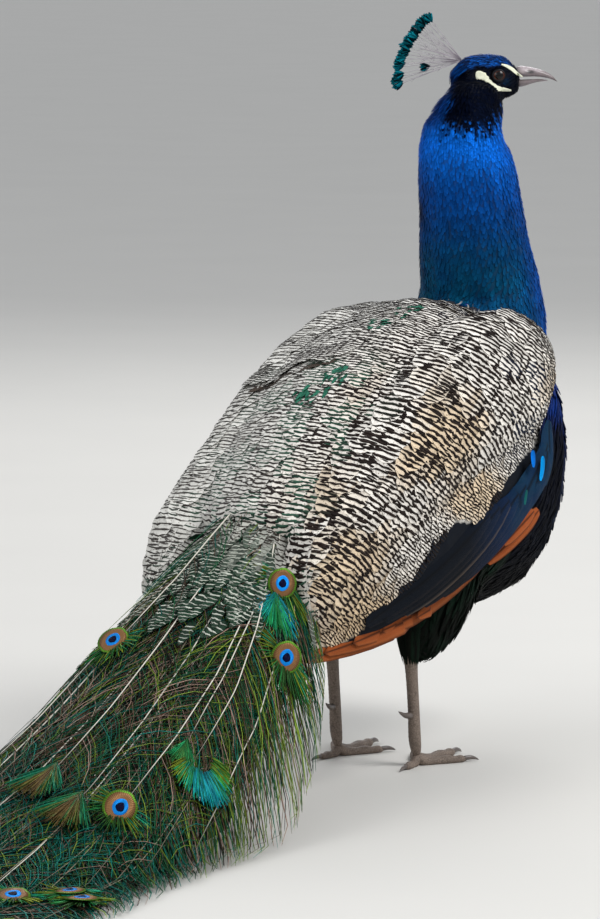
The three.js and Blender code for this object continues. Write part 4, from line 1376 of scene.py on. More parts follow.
def build_flight_feathers():
    """The rufous primaries and alula, the dark secondaries and, over them, bright vanes that are painted
    glints.
    """
    surface = SKIN["surface"]
    steps = len(FLIGHT_SHAPE)
    for sign, name in SIDES:
        for kind, rows, base, slot, lift in FLIGHT_KINDS:
            centres, across, ups, halves = [], [], [], []
            for i, (start, end, width, bow) in enumerate(rows):
                path, side, up = flight_feather(surface, sign, start, end, (lift + 0.8 * i) * MM, bow, steps)
                centres.append(path)
                across.append(side)
                ups.append(up)
                halves.append(width * 0.5 * FLIGHT_SHAPE)
            vanes = Vanes(np.linspace(0, 1, steps), *map(np.array, (centres, across, ups, halves)), 0.035,
                          0.10)
            points, faces, where, size = vanes.mesh(9)
            tone = even_tone(len(points), base)
            edge = np.abs(where[:, 0] - 0.5) * 2
            lower = np.where(sign > 0, where[:, 0], 1 - where[:, 0])
            row = np.arange(len(points)) // size
            if kind == "secondaries":
                tone = blend(tone, 0x08284E, 0.9 * smoothstep(0.03, -0.11, points[:, 1]))
                tone = blend(tone, 0x0B4450,
                             0.5 * smoothstep(-0.06, -0.10, points[:, 1]) * mottle(points, 0.02, 3))
                tone = blend(tone, 0x7A6A5C, np.where(row == 2, 0.40, 0.05) * smoothstep(0.97, 1.0, lower))
                tone = blend(tone, 0x020408, 0.8 * smoothstep(0.12, 0.0, edge))
            else:
                tone = blend(tone, 0xB06A3C, 0.5 * smoothstep(0.55, 0.9, edge))
                # Darker along the vane's edges: painted shade between overlapping feathers.
                tone = blend(tone, 0x4E2413, 0.9 * smoothstep(0.93, 1.0, edge))
                tone = blend(tone, 0x2A150D, 0.9 * smoothstep(0.10, 0.0, edge))
            uvs = feather_uvs(unwrap(vanes.centres[:, 3]), where, size, vanes, 0.012, 5)
            add_piece(f"{kind}_{name}", points, faces, "flight", uvs, tone, slot, sharp=60)
        glint = []
        for start, end, width in GLINTS:
            path, side, up = flight_feather(surface, sign, start, end, GLINT_LIFT, 0.0, steps)
            glint.append((path, side, up, width * 0.5 * FLIGHT_SHAPE))
        vanes = Vanes(np.linspace(0, 1, steps), *[np.array(rows) for rows in zip(*glint)], 0.06, 0.1)
        colours = np.array([linear(colour) for colour in GLINT_COLOURS])
        coat_piece(f"wing_glints_{name}", vanes, unwrap(vanes.centres[:, 3]), colours, "glossy",
                   "dark_flight_feathers", 6, 5)


# The wing's lower edge of barred feathers, as y and z, from the shoulder to the wing's end.
COVERT_EDGE = np.array([
    (-0.177, 0.350), (-0.118, 0.335), (-0.093, 0.325), (-0.061, 0.311), (-0.041, 0.293), (-0.014, 0.274),
    (0.020, 0.274), (0.039, 0.279), (0.057, 0.269), (0.074, 0.256), (0.091, 0.240), (0.110, 0.228),
    (0.126, 0.214), (0.139, 0.203), (0.160, 0.194), (0.181, 0.180), (0.209, 0.169), (0.240, 0.166)])


def above_edge(points):
    return points[:, 2] - np.interp(points[:, 1], COVERT_EDGE[:, 0], COVERT_EDGE[:, 1])


def covert_size(points):
    """0 for the small feathers of the shoulder and the lower edge, 1 for the broad ones between."""
    return smoothstep(0.015, 0.06, above_edge(points)) * smoothstep(-0.20, -0.13, points[:, 1])


def covert_length(points):
    return 0.027 + 0.027 * covert_size(points)


# Where the tips of the raised row on the left shoulder lie.
FOLD_TIPS = np.array([(0.096, 0.096, 0.405), (0.080, 0.098, 0.414), (0.051, 0.096, 0.426),
                      (0.022, 0.090, 0.439), (-0.004, 0.082, 0.446)])


def build_fold(period):
    """A row of the left shoulder's feathers that stands over a hollow, with dark vanes under its tips as a
    painted shadow in it.
    """
    surface = SKIN["surface"]
    n = 15
    tips = curve(FOLD_TIPS, np.linspace(0, 1, n))
    roots = surface.drop(tips - lie_of_coat(tips) * 0.050)[0]
    vanes = lay(surface, roots, np.full(n, 0.050), np.full(n, 0.022), np.full(n, 0.0065), CONTOUR, 61,
                even=0.9)
    tone = ground_tone(roots) * np.random.RandomState(5).uniform(0.85, 1.05, (n, 1))
    coat_piece("shoulder_fold", vanes, unwrap(roots), tone, "pale", "barred_plumage", 62)
    bar_piece("shoulder_fold_bars", vanes, unwrap(roots), np.full(n, 0.5 * period), "barred_plumage", 63,
              bar_tone(roots), first=0.05, count=12, slim=0.8, slant=0.6)
    roots = surface.drop(tips - lie_of_coat(tips) * 0.012)[0]
    vanes = lay(surface, roots, np.full(n, 0.026), np.full(n, 0.016), np.full(n, 0.0038), CONTOUR, 64)
    # Dark brown vanes under the fold's tips: a painted shadow in the hollow.
    tone = even_tone(n, 0x4A4038) * np.random.RandomState(6).uniform(0.5, 1.1, (n, 1))
    coat_piece("fold_painted_shadow", vanes, unwrap(roots), tone, "pale", "barred_plumage", 65)


def build_coverts(settings):
    period = lambda p: (settings.bar_spacing * (0.60 + 0.40 * covert_size(p))
                        * (0.62 + 0.5 * mottle(p, 0.07, 21))
                        * (1 - 0.24 * smoothstep(-0.08, 0.0, p[:, 0]) * smoothstep(0.10, 0.05, p[:, 0])))

    def reaches_edge(points):
        tips = points + lie_of_coat(points) * covert_length(points)[:, None] * 0.95
        return (above_edge(tips) > 0) & (points[:, 1] > -0.235)

    for name, sign, seed in (("left", 1, 700), ("right", -1, 800)):
        finer = 0.86 if sign > 0 else 1.0
        tract(f"coverts_{name}", ["coverts", "secondaries", "primaries"],
              lambda p: finer * (6.6 + 7.2 * covert_size(p)) * MM, lambda p: finer * covert_length(p),
              lambda p: finer * (0.0138 + 0.0172 * covert_size(p)), 2.8 * MM, CONTOUR, "pale",
              "barred_plumage", seed,
              keep=lambda p: (p[:, 0] * sign > 0) & reaches_edge(p), bars=period, vary=(0.86, 1.1), even=0.85,
              barring={"first": 0.22, "count": 6 if sign > 0 else 8, "slant": 0.5, "fill": (0.17, 0.24),
                       "steps": 5 if sign > 0 else 7})
    tract("mantle_coat", ["mantle"], 9.0 * MM, 0.034, 0.019, 2.6 * MM, CONTOUR, "pale", "barred_plumage", 600,
          bars=period, vary=(0.86, 1.1),
          barring={"first": 0.15, "count": 7, "slant": 0.6, "steps": 5, "fill": (0.18, 0.25)})
    tract("green_scales", ["mantle", "coverts"], 3.6 * MM, 0.026, 0.0062, 3.8 * MM, LOCK, "soft",
          "barred_plumage",
          650, keep=lambda p: green_spots(p) > 0.5, colour=0x2E6E58, vary=(0.6, 1.3), stray=0.30)
    build_fold(settings.bar_spacing)


# ------------------------------------------------------------------ train
# Along the train, as y behind the feet: height of its underside, sag at its edges and half width.
TRAIN_START, TRAIN_WIDTH, UV_REACH = 0.196, 0.236, 1.2
UNDERSIDE = np.array([(0.196, 0.300), (0.250, 0.268), (0.330, 0.212), (0.410, 0.164), (0.500, 0.114),
                      (0.600, 0.066), (0.700, 0.030), (0.790, 0.008), (0.860, 0.0), (1.350, 0.0)])
EDGE_SAG = np.array([(0.196, 0.060), (0.250, 0.090), (0.330, 0.118), (0.410, 0.128), (0.500, 0.118),
                     (0.700, 0.070), (0.900, 0.040)])
HALF_WIDTH = np.array([(0.196, 0.062), (0.236, 0.078), (0.280, 0.112), (0.340, 0.142), (0.410, 0.160),
                       (0.550, 0.168), (0.700, 0.182), (0.900, 0.219), (1.050, 0.236), (1.350, 0.236)])


def along_profile(table, y):
    return np.interp(y, table[:, 0], table[:, 1])


def drape_at(x, y, lift):
    """A place on the train x across and y behind the feet. Past its edges it hangs."""
    u = np.clip(np.abs(x) / along_profile(HALF_WIDTH, y), 0, 1.35)
    z = along_profile(UNDERSIDE, y) - along_profile(EDGE_SAG, y) * u**2.4
    return np.stack(np.broadcast_arrays(x, y, np.maximum(z, 0) + lift), -1)


def reach_at(x, y):
    """How far from the midline barbs may hang: a little past the edge, further at the left root."""
    return along_profile(HALF_WIDTH, y) * (1.06 + 0.22 * smoothstep(0.48, 0.34, y) * (x > 0))


def drape(u, y, lift):
    """The same with u, the share of the way across, from -1 to 1."""
    return drape_at(u * along_profile(HALF_WIDTH, y), y, lift)


def drape_up(x, y):
    across = drape_at(x + 2 * MM, y, 0) - drape_at(x - 2 * MM, y, 0)
    along = drape_at(x, y + 4 * MM, 0) - drape_at(x, y - 4 * MM, 0)
    return unit(np.cross(across, along))


def drape_vanes(u, y0, length, width, lift, profile, seed, thick=0.06, camber=0.14, stray=0.02):
    """Vanes laid along the train from (u, y0), at heights lift (n, s) over it."""
    rng = np.random.RandomState(seed)
    shares, widths = profile
    n = len(u)
    y = y0[:, None] + length[:, None] * shares[None]
    across = np.clip(u[:, None] + rng.normal(0, stray, (n, 1)) * shares, -0.98, 0.98)
    x = across * along_profile(HALF_WIDTH, y)
    centres = drape_at(x, y, lift)
    up = drape_up(x, y)
    tangent = unit(np.gradient(centres, axis=1))
    up = square_to(up, tangent)
    roll = rng.normal(0, 0.08, n)[:, None, None]
    across, up = rolled(np.cross(tangent, up), up, roll)
    return Vanes(shares, centres, across, up, width[:, None] * 0.5 * widths[None], thick, camber)


def train_uv(u, y):
    """The train unrolled: across and along."""
    return inset(np.clip(np.stack([(u + 1) / 2, (y - TRAIN_START) / UV_REACH], -1), 0, 1))


# The top plumes: share across, where the tip lies, and what it ends in.
TOP_PLUMES = [
    (-0.60, 0.286, "eye"), (-0.76, 0.335, "eye"), (0.27, 0.418, "eye"), (-0.555, 0.611, "eye"),
    (-0.34, 0.640, "fan"), (-0.06, 0.615, "fan"), (-0.66, 0.500, "crescent"), (-0.60, 0.306, "glow"),
              (-0.585, 0.500, "tuft"),
    (0.10, 0.840, "eye"), (-0.90, 0.560, "bare"), (0.84, 0.540, "bare"),
    (0.45, 0.800, "eye"), (-0.40, 0.860, "eye"), (0.52, 0.600, "bare")]
# The hidden and outer plumes: where a ring's tips lie, and how many it has.
RINGS = [(0.34, 6), (0.44, 8), (0.55, 9), (0.66, 11), (0.78, 12), (0.92, 13), (1.06, 13), (1.18, 11),
         (1.28, 7)]


def train_plumes(rng):
    """Share across, tip, height in the cloak and ending of every plume."""
    rows = [(u, tip, (0.029 - 0.016 * float(smoothstep(0.45, 0.95, tip))) * (1 - 0.35 * u * u)
             - 0.002 * (kind == "tuft"), kind) for u, tip, kind in TOP_PLUMES]
    for tip, count in RINGS:
        for k in range(count):
            u = -0.94 + 1.88 * (k + 0.5 + rng.uniform(-0.2, 0.2)) / count
            end = tip + rng.uniform(-0.04, 0.04) - max(0, tip - 0.85) * 0.85 * abs(u) ** 2.2
            height = 0.022 - 0.011 * float(smoothstep(0.3, 1.2, tip)) - rng.uniform(0, 0.005)
            height = height * (1 - 0.3 * u * u)
            ending = "eye" if tip > 0.74 and rng.uniform() < 0.75 else "bare"
            rows.append((u, end, height, ending))
    return rows


def build_train(settings):
    """Every plume's shaft, then the barbs, eye spots and fans that grow from it."""
    rng = np.random.RandomState(11)
    rows = train_plumes(rng)
    endings = np.array([row[3] for row in rows])
    u, tip, height = np.array([row[:3] for row in rows]).T
    top = (np.arange(len(rows)) < len(TOP_PLUMES)).astype(float)[:, None]
    n, steps = len(rows), 26
    share = np.linspace(0, 1, steps)[None]
    y = TRAIN_START + 0.006 + (tip - TRAIN_START - 0.006)[:, None] * share
    wander = (rng.normal(0, 0.03, (n, 1)) * np.sin(math.pi * share)
              + rng.normal(0, 0.02, (n, 1)) * np.sin(2 * math.pi * share))
    lift = height[:, None] + 0.002 * np.sin(3 * share + rng.uniform(0, 6, (n, 1))) * (1 - share**3)
    lift = np.maximum(lift + rng.normal(0, 0.0015, (n, 1)), 0.004)
    across = np.clip(u[:, None] * (0.55 + 0.45 * share**0.7) + wander * (1 - 0.6 * top), -1, 1)
    paths = drape(across, y, lift)
    radii = np.linspace(1.0, 0.4, steps)[None] * MM * (0.75 + 0.25 * top)
    points, faces, place, size = quills(paths, radii, 6)
    tone = np.where(top > 0, linear(0xDCD6C8), linear(0x8E8670) * rng.uniform(0.4, 1.0, (n, 1)))
    tone = blend(np.repeat(tone, size, 0), 0x3A3020, 0.85 * smoothstep(0.78, 0.97, place[:, 1]))
    add_piece("train_shafts", points, faces, "shaft", {"OFBake": bake_patches(train_uv(u, tip), place, size)},
              tone, "train_plumes", ["train_long", "train_middle", "train_short"])
    build_barbs(settings, paths, lift, rng)
    build_eye_spots(paths, u, tip, endings, rng)
    build_tip_fans(paths, u, tip, endings, rng)


BARB_SHARES = np.array([0.0, 0.34, 0.68, 1.0])
MOST_FACES = 190000


def barb_tone(x, y, rng):
    """Barb colours: green and bronze above, brown in the middle, teal low down, gold at the right."""
    n = len(x)
    palette = np.array([linear(c) for c in (0x1C5A38, 0x127064, 0x728A2E, 0x5C4636, 0x9A8072, 0x0C1612)])
    odds = np.tile(np.array([0.34, 0.14, 0.12, 0.14, 0.08, 0.18]), (n, 1))
    odds[:, 4] += 0.20 * np.exp(-((y - 0.47) / 0.09) ** 2)
    odds[:, 3] += 0.14 * np.exp(-((y - 0.47) / 0.09) ** 2)
    odds[:, 1] += 0.75 * smoothstep(0.52, 0.72, y)
    odds[:, 2] += 0.9 * smoothstep(-0.06, -0.13, x) * smoothstep(0.62, 0.42, y)
    odds[:, 0] += 0.3 * smoothstep(-0.06, -0.13, x)
    odds = np.cumsum(odds / odds.sum(1, keepdims=True), 1)
    pick = (rng.uniform(size=(n, 1)) > odds).sum(1)
    return palette[np.minimum(pick, 5)] * rng.uniform(0.5, 1.6, (n, 1))


def curved_barbs(start, way, side, length, open_angle, close_angle, lift, droop):
    """Barb centre lines that leave a shaft at one angle, bend to another and lie on the train."""
    t = BARB_SHARES[None, :, None]
    flat = lambda v: unit(v * np.array([1.0, 1.0, 0.0]))
    way, side = flat(way), flat(side)
    first = way * np.cos(open_angle)[:, None] + side * np.sin(open_angle)[:, None]
    last = way * np.cos(close_angle)[:, None] + side * np.sin(close_angle)[:, None]
    bent = first[:, None] * (t - t * t / 2) + last[:, None] * t * t / 2
    path = start[:, None] + bent * length[:, None, None]
    limit = reach_at(path[..., 0], path[..., 1])
    x = np.clip(path[..., 0], -limit, limit)
    over = lift[:, None] - 0.6 * MM - droop[:, None] * BARB_SHARES[None] ** 1.5
    return drape_at(x, path[..., 1], np.maximum(over, 1.0 * MM))


def barb_pieces(name, centres, half, tone, root_uv, rng):
    """Barbs joined in pieces of even size, from the rump back."""
    order = np.argsort(centres[:, 0, 1])
    faces_each = 6 * (len(BARB_SHARES) - 1) + 6
    pieces = max(1, math.ceil(len(order) * faces_each / MOST_FACES))
    for index, chosen in enumerate(np.array_split(order, pieces)):
        n = len(chosen)
        line = centres[chosen]
        tangent = unit(np.gradient(line, axis=1))
        face = unit(UPWARD + rng.normal(0, 0.5, (n, 1, 3)))
        across = unit(np.cross(tangent, face))
        wide = half[chosen][:, None] * np.array([0.9, 1.0, 0.8, 0.4])[None]
        points, faces, place, size = slivers(line, across, np.cross(across, tangent), wide, wide)
        keep_above(points, LIE_FLAT)
        # Each barb darker towards its root: painted shade.
        shade = (0.55 + 0.6 * place[:, 1]).reshape(n, size, 1)
        uvs = {"OFBake": bake_patches(root_uv[chosen], place, size)}
        add_piece(f"{name}_{index + 1}", points, faces, "strand", uvs,
                  (tone[chosen][:, None] * shade).reshape(-1, 3), "train_plumes")


def build_barbs(settings, paths, lifts, rng):
    """Loose barbs down both sides of every shaft, some drooping and some lying over their neighbours."""
    centres, halves, tones, uvs = [], [], [], []
    for path, lift in zip(paths, lifts):
        run = np.concatenate([[0], np.cumsum(np.linalg.norm(np.diff(path, axis=0), axis=1))])
        fewer = 0.70 if path[-1, 1] > 0.9 else 1.0
        count = int(int(run[-1] / settings.barb_spacing) * fewer)
        at = (np.arange(count) + rng.uniform(-0.4, 0.4, count)) / count * 0.98 * run[-1] + 0.02 * run[-1]
        read = lambda where: np.stack([np.interp(np.clip(where, 0, run[-1]), run, path[:, k])
                                       for k in range(3)], -1)
        way = unit(read(at + 0.01) - read(at - 0.01))
        side = np.cross(way, UPWARD) * np.where(np.arange(count) % 2 == 0, 1.0, -1.0)[:, None]
        start = read(at)
        left = run[-1] - at
        length = 0.040 + 0.034 * smoothstep(0.0, 0.12, at) * smoothstep(0.0, 0.10, left)
        length = length * rng.uniform(0.75, 1.2, count)
        opened = rng.normal(1.0, 0.07, count) - 0.35 * smoothstep(0.05, 0.0, left)
        closed = opened - rng.uniform(0.45, 0.95) - rng.uniform(-0.15, 0.15, count)
        height = np.interp(at, run, lift)
        droop = rng.uniform(0.0, 1.0, count) * height * 0.75
        droop = np.where(rng.uniform(size=count) < 0.3 + 0.4 * smoothstep(0.16, 0.06, at),
                         -rng.uniform(0.5, 4.0, count) * MM, droop)
        centres.append(curved_barbs(start, way, side, length, opened, closed, height, droop))
        halves.append(rng.uniform(0.38, 0.66, count) * MM / fewer)
        tones.append(barb_tone(start[:, 0], start[:, 1], rng))
        uvs.append(train_uv(start[:, 0] / TRAIN_WIDTH, start[:, 1]))
    barb_pieces("train_barbs", *map(np.concatenate, (centres, halves, tones, uvs)), rng)


# The bands of an eye spot from the outside in: name, radius in mm, height, colour.
EYE_BANDS = [("rims", 18.0, 0.0, 0x5C8A2A), ("discs", 15.6, 0.35, 0x84603E), ("rings", 9.0, 0.70, 0x128CE8),
             ("hearts", 5.0, 1.05, 0x04052A)]
TO_LIGHT = unit(np.array([-0.62, 0.72, 0.30]))


def build_eye_spots(paths, u, tip, endings, rng):
    """The eye at the tip of each plume that has one: four thin bands, one on another."""
    chosen = np.nonzero(endings == "eye")[0]
    n, steps, columns = len(chosen), 11, 7
    tips = paths[chosen, -1]
    way = unit(tips - paths[chosen, -4])
    up = drape_up(tips[:, 0], tips[:, 1])
    # The first top plumes turn their eyes to the light, the others less or not at all.
    open_ones = np.where(chosen < 4, 0.85, np.where(chosen < len(TOP_PLUMES), 0.45, 0.0))[:, None]
    open_ones[2] = 0.5  # the third lies flatter than its neighbours
    up = unit(up * (1 - open_ones) + TO_LIGHT * open_ones + rng.normal(0, 0.10, (n, 3)))
    way = square_to(way, up)
    across = np.cross(way, up)
    grow = rng.uniform(0.88, 1.06, n)
    share = np.linspace(0.012, 0.988, steps)
    for label, radius, height, colour in EYE_BANDS:
        rounded = np.sqrt(np.clip(1 - (2 * share - 1) ** 2, 0, 1))
        if label == "hearts":
            rounded = rounded * (0.75 + 0.35 * share)
        half = (grow * radius * MM)[:, None] * rounded[None] * 0.94
        reach = (2 * share - 1)[None, :, None] * (grow * radius * MM)[:, None, None]
        centres = (tips[:, None] + way[:, None] * reach
                   + up[:, None] * ((4.0 + height + 4.5 * open_ones) * MM)[:, None])
        centres[..., 2] = np.maximum(centres[..., 2], 3 * MM)
        repeat = lambda v: np.repeat(v[:, None], steps, 1)
        points, faces, where, size = sweep(centres, repeat(across), repeat(up), half,
                                           np.full((n, steps), 0.7 * MM), columns, 0.06)
        keep_above(points, 0.8 * MM)
        local = where.reshape(n, size, 2)
        spread = np.concatenate([np.repeat(rounded, 2 * columns - 2), [0, 0]])
        vane = np.stack([(local[..., 0] - 0.5) * spread, local[..., 1] - 0.5], -1)
        tone = even_tone(n, colour) * rng.uniform(0.85, 1.15, (n, 1))
        bake = bake_patches(train_uv(u[chosen], tip[chosen]), where, size)
        add_piece(f"train_eye_{label}", points, faces, "eye_spot",
                  {"Vane": vane.reshape(-1, 2), "OFBake": bake}, np.repeat(tone, size, 0), "train_plumes")


# Tip fans by ending: barbs, half spread and turn in radians, shortest and longest barb, place past the
# tip, height in mm, colours from the middle out.
FANS = {"eye": (90, 2.1, 0.0, 0.016, 0.026, 0.012, 2.6, (0x2C5A24, 0x1E7A3A, 0x7C8A22, 0x0F8F6A)),
        "fan": (300, 0.78, 0.0, 0.028, 0.052, -0.018, 4.0, (0x6A5630, 0x646A2E, 0x2A7846, 0x1A8462)),
        "tuft": (120, 0.70, -0.2, 0.018, 0.027, -0.002, 4.0, (0x3E7A3A, 0x2C8A48, 0x1F9A5C, 0x2A6A34)),
        "glow": (200, 1.15, -0.2, 0.022, 0.032, -0.004, 0.6, (0x1C8A48, 0x169C68, 0x0E9A8C, 0x0E88A4)),
        "crescent": (320, 1.25, -0.95, 0.015, 0.023, 0.019, 4.5, (0x0E9CA8, 0x14A080, 0x3A9A3E, 0x7C8A22))}

OUTER_BARBS = 44


def build_tip_fans(paths, u, tip, endings, rng):
    """Dense bright barbs round every eye, and a close fan at the tip of some plumes."""
    centres, halves, tones, uvs = [], [], [], []
    for index in np.nonzero(endings != "bare")[0]:
        count, spread, aside, shortest, longest, hollow, high, colours = FANS[endings[index]]
        outer = index >= len(TOP_PLUMES)
        count = OUTER_BARBS if outer else count
        end, back = paths[index, -1], paths[index, -4]
        way = unit(end - back)
        turn = np.linspace(-spread, spread, count) + rng.normal(0, 0.05, count)
        band = np.abs(turn) / spread * 3.4 + rng.normal(0, 0.7, count)
        length = rng.uniform(shortest, longest, count) * (1 - 0.10 * np.abs(turn))
        turn = turn + aside
        side = np.tile(np.cross(way, UPWARD), (count, 1))
        aim = way * np.cos(turn)[:, None] + side * np.sin(turn)[:, None]
        start = end + (aim if hollow > 0 else way) * hollow + way * rng.uniform(-0.008, 0.004, (count, 1))
        lift = np.full(count, end[2] - drape_at(end[0], end[1], 0)[2] + high * MM)
        line = curved_barbs(start, np.tile(way, (count, 1)), side, length, turn, turn * 0.9, lift,
                            rng.uniform(-1.5, 2.5, count) * MM)
        centres.append(line + UPWARD * rng.uniform(-1, 1, (count, 1, 1)) * MM)
        halves.append(rng.uniform(0.5, 0.85, count) * (1.4 if outer else 1.0) * MM)
        glow = np.array([linear(c) for c in colours])
        tones.append(glow[np.clip(band, 0, 3).astype(int)] * rng.uniform(0.45, 1.25, (count, 1)))
        uvs.append(train_uv(np.full(count, u[index]), np.full(count, tip[index])))
    barb_pieces("train_tip_fans", *map(np.concatenate, (centres, halves, tones, uvs)), rng)


def build_train_bed():
    """Broad soft vanes under the plumes."""
    rng = np.random.RandomState(19)
    rows = []
    for y0 in np.arange(0.205, 1.22, 0.034):
        count = int(8 + 10 * min(1, y0))
        rows += [(-0.84 + 1.68 * (k + rng.uniform(0, 1)) / count, y0 + rng.uniform(-0.015, 0.015))
                 for k in range(count)]
    u, y0 = np.array(rows).T
    length = np.minimum(rng.uniform(0.07, 0.11, len(u)), 1.32 - 0.45 * np.abs(u) ** 2.2 - y0)
    keep = length > 0.03
    u, y0, length = u[keep], y0[keep], length[keep]
    lift = 0.003 + 0.003 * LOCK[0][None] + rng.uniform(0, 0.003, (len(u), 1))
    vanes = drape_vanes(u, y0, length, rng.uniform(0.018, 0.032, len(u)), lift, LOCK, 23)
    tone = even_tone(len(u), 0x14201A) * rng.uniform(0.5, 1.4, (len(u), 1))
    tone = np.where(rng.uniform(size=(len(u), 1)) < 0.4,
                    linear(0x1E1712) * rng.uniform(0.6, 1.3, (len(u), 1)), tone)
    coat_piece("train_bed", vanes, train_uv(u, y0), tone, "soft", "train_plumes", 3)


def build_rump():
    """Barred feathers that run from the back over the roots of the plumes: dark bars on pale vanes
    at first, then pale wavy bars on dark green ones, fewer and fewer towards the eyes."""
    rng = np.random.RandomState(37)
    rows = [(rng.uniform(-0.50, -0.28), rng.uniform(0.285, 0.335)) for _ in range(16)]
    for y0 in np.arange(0.190, 0.385, 0.0095):
        share = (y0 - 0.19) / 0.195
        count = int(13 + 7 * smoothstep(0.2, 0.3, y0))
        for k in range(count):
            u = -0.90 + 1.84 * (k + rng.uniform(0, 1)) / count
            thin = (0.85 * smoothstep(0.45, 1.0, share)
                    + 1.0 * smoothstep(-0.35, -0.55, u) * smoothstep(0.15, 0.4, share))
            if rng.uniform() > thin:
                rows.append((u, y0 + rng.uniform(-0.004, 0.004)))
    u, y0 = np.array(rows).T
    n = len(u)
    late = smoothstep(0.225, 0.28, y0 + rng.uniform(-0.015, 0.015, n))
    lift = 0.0245 * (1 - 0.2 * u * u)[:, None] + 0.004 * LOCK[0][None] + rng.uniform(-0.001, 0.001, (n, 1))
    length, width = rng.uniform(0.030, 0.042, n), rng.uniform(0.012, 0.018, n)
    vanes = drape_vanes(u, y0, length, width, lift, LOCK, 29, stray=0.06)
    tone = blend(even_tone(n, 0xC4C3BA), 0x24402F, late) * rng.uniform(0.6, 1.15, (n, 1))
    coat_piece("rump_feathers", vanes, train_uv(u, y0), tone, "pale", "barred_plumage", 31)
    bars = np.where(late[:, None] > 0.5, linear(0xB4B8AC), linear(0x35302B)) * np.ones((n, 1))
    bar_piece("rump_feathers_bars", vanes, train_uv(u, y0), rng.uniform(0.0044, 0.0064, n), "barred_plumage",
              33, bars, fill=(0.13, 0.22), first=0.06, count=7, steps=6)


def build_tail():
    """The stiff tail feathers, a flat fan under the train's root."""
    count = 14
    spread = np.linspace(-1, 1, count)
    share = np.linspace(0, 1, 9)
    y = 0.236 + (0.315 - 0.05 * spread[:, None] ** 2) * share
    x = spread[:, None] * (0.018 + 0.058 * share[None])
    centres = drape_at(x, y, -0.006 - 0.0004 * (np.arange(count) % 3)[:, None])
    tangent = unit(np.gradient(centres, axis=1))
    across = unit(np.cross(tangent, UPWARD))
    half = 0.017 * np.array([0.5, 0.8, 0.95, 1, 1, 1, 0.95, 0.8, 0.45])[None] * np.ones((count, 1))
    vanes = Vanes(share, centres, across, np.cross(across, tangent), half, 0.03, 0.05)
    points, faces, where, size = vanes.mesh(5)
    uvs = feather_uvs(train_uv(spread, np.full(count, 0.4)), where, size, vanes, 0.02, 3)
    tone = blend(even_tone(len(points), 0x4E3F30), 0x2A2018,
                 smoothstep(0.9, 1.0, np.abs(where[:, 0] - 0.5) * 2))
    add_piece("tail_feathers", points, faces, "flight", uvs, tone, "tail_feathers", ["tail"], sharp=60)


# ------------------------------------------------------------------ stage
FLOOR_SIZE = 160.0
SKY = (0.92, 0.95, 1.0, 1)
LIGHTS_AIM = (0, -0.05, 0.35)
# Soft round lights: name, place, size and share of the key light's power.
LIGHTS = (("key_light", (-2.6, -0.4, 3.4), 2.0, 1.0), ("fill_light", (1.0, 3.4, 2.4), 2.6, 0.35),
          ("rim_light", (1.6, -3.0, 2.8), 2.0, 0.4))


def build_stage(settings):
    bpy.ops.mesh.primitive_plane_add(size=FLOOR_SIZE, location=(0, 0, 0))
    floor = bpy.context.object
    floor.name = "studio_floor"
    floor.data.materials.append(MATERIALS["floor"])
    world = bpy.data.worlds.new("studio")
    bpy.context.scene.world = world
    world.use_nodes = True
    world.node_tree.nodes["Background"].inputs[0].default_value = SKY
    world.node_tree.nodes["Background"].inputs[1].default_value = settings.ambient
    bpy.context.scene.view_settings.view_transform = "Standard"
    aim = settle(LIGHTS_AIM)
    for name, place, size, share in LIGHTS:
        lamp = bpy.data.lights.new(name, "AREA")
        lamp.shape = "DISK"
        lamp.size = size
        lamp.energy = share * settings.key_power
        made = bpy.data.objects.new(name, lamp)
        made.location = settle(place)
        made.rotation_euler = (Vector(aim) - Vector(settle(place))).to_track_quat("-Z", "Y").to_euler()
        bpy.context.scene.collection.objects.link(made)
    camera = bpy.data.cameras.new("camera")
    camera.sensor_width = 36.0
    camera.lens = settings.lens
    camera.clip_end = 200
    made = bpy.data.objects.new("camera", camera)
    made.location = settle(settings.camera_place)
    made.rotation_euler = Vector(settings.camera_way).to_track_quat("-Z", "Y").to_euler()
    bpy.context.scene.collection.objects.link(made)
    bpy.context.scene.camera = made


# ------------------------------------------------------------------ settings
class PeacockCoat(bpy.types.PropertyGroup):
    neck_feather: FloatProperty(name="Neck feather", description="Length of the neck's scale-like feathers",
                                default=0.012, unit="LENGTH")
    breast_feather: FloatProperty(name="Breast feather", description="Length of the breast feathers",
                                  default=0.022, unit="LENGTH")
    belly_feather: FloatProperty(name="Belly feather",
                                 description="Length of the loose belly and thigh feathers",
                                 default=0.040, unit="LENGTH")
    bar_spacing: FloatProperty(name="Bar spacing",
                               description="From one dark bar to the next on the broadest coverts",
                               default=0.0080, unit="LENGTH")


class PeacockTrain(bpy.types.PropertyGroup):
    barb_spacing: FloatProperty(name="Barb spacing", description="Shaft length for each loose barb",
                                default=0.0032, unit="LENGTH")


class PeacockStage(bpy.types.PropertyGroup):
    lens: FloatProperty(name="Lens", description="Camera focal length in millimetres", default=181.4)
    camera_place: FloatVectorProperty(name="Camera place",
                                      description="From the floor point between the feet",
                                      default=(-2.6009, 4.1623, 0.9540), subtype="XYZ", unit="LENGTH")
    camera_way: FloatVectorProperty(name="Camera way", description="Direction the camera looks",
                                    default=(0.53890, -0.83283, -0.12643), subtype="DIRECTION")
    ambient: FloatProperty(name="Ambient", description="Strength of the light from all round", default=0.62)
    key_power: FloatProperty(name="Key light", description="Power of the main soft light", default=110.0,
                             unit="POWER")


class PeacockSettings(bpy.types.PropertyGroup):
    coat: PointerProperty(type=PeacockCoat)
    train: PointerProperty(type=PeacockTrain)
    stage: PointerProperty(type=PeacockStage)


def settings():
    return bpy.context.scene.peacock


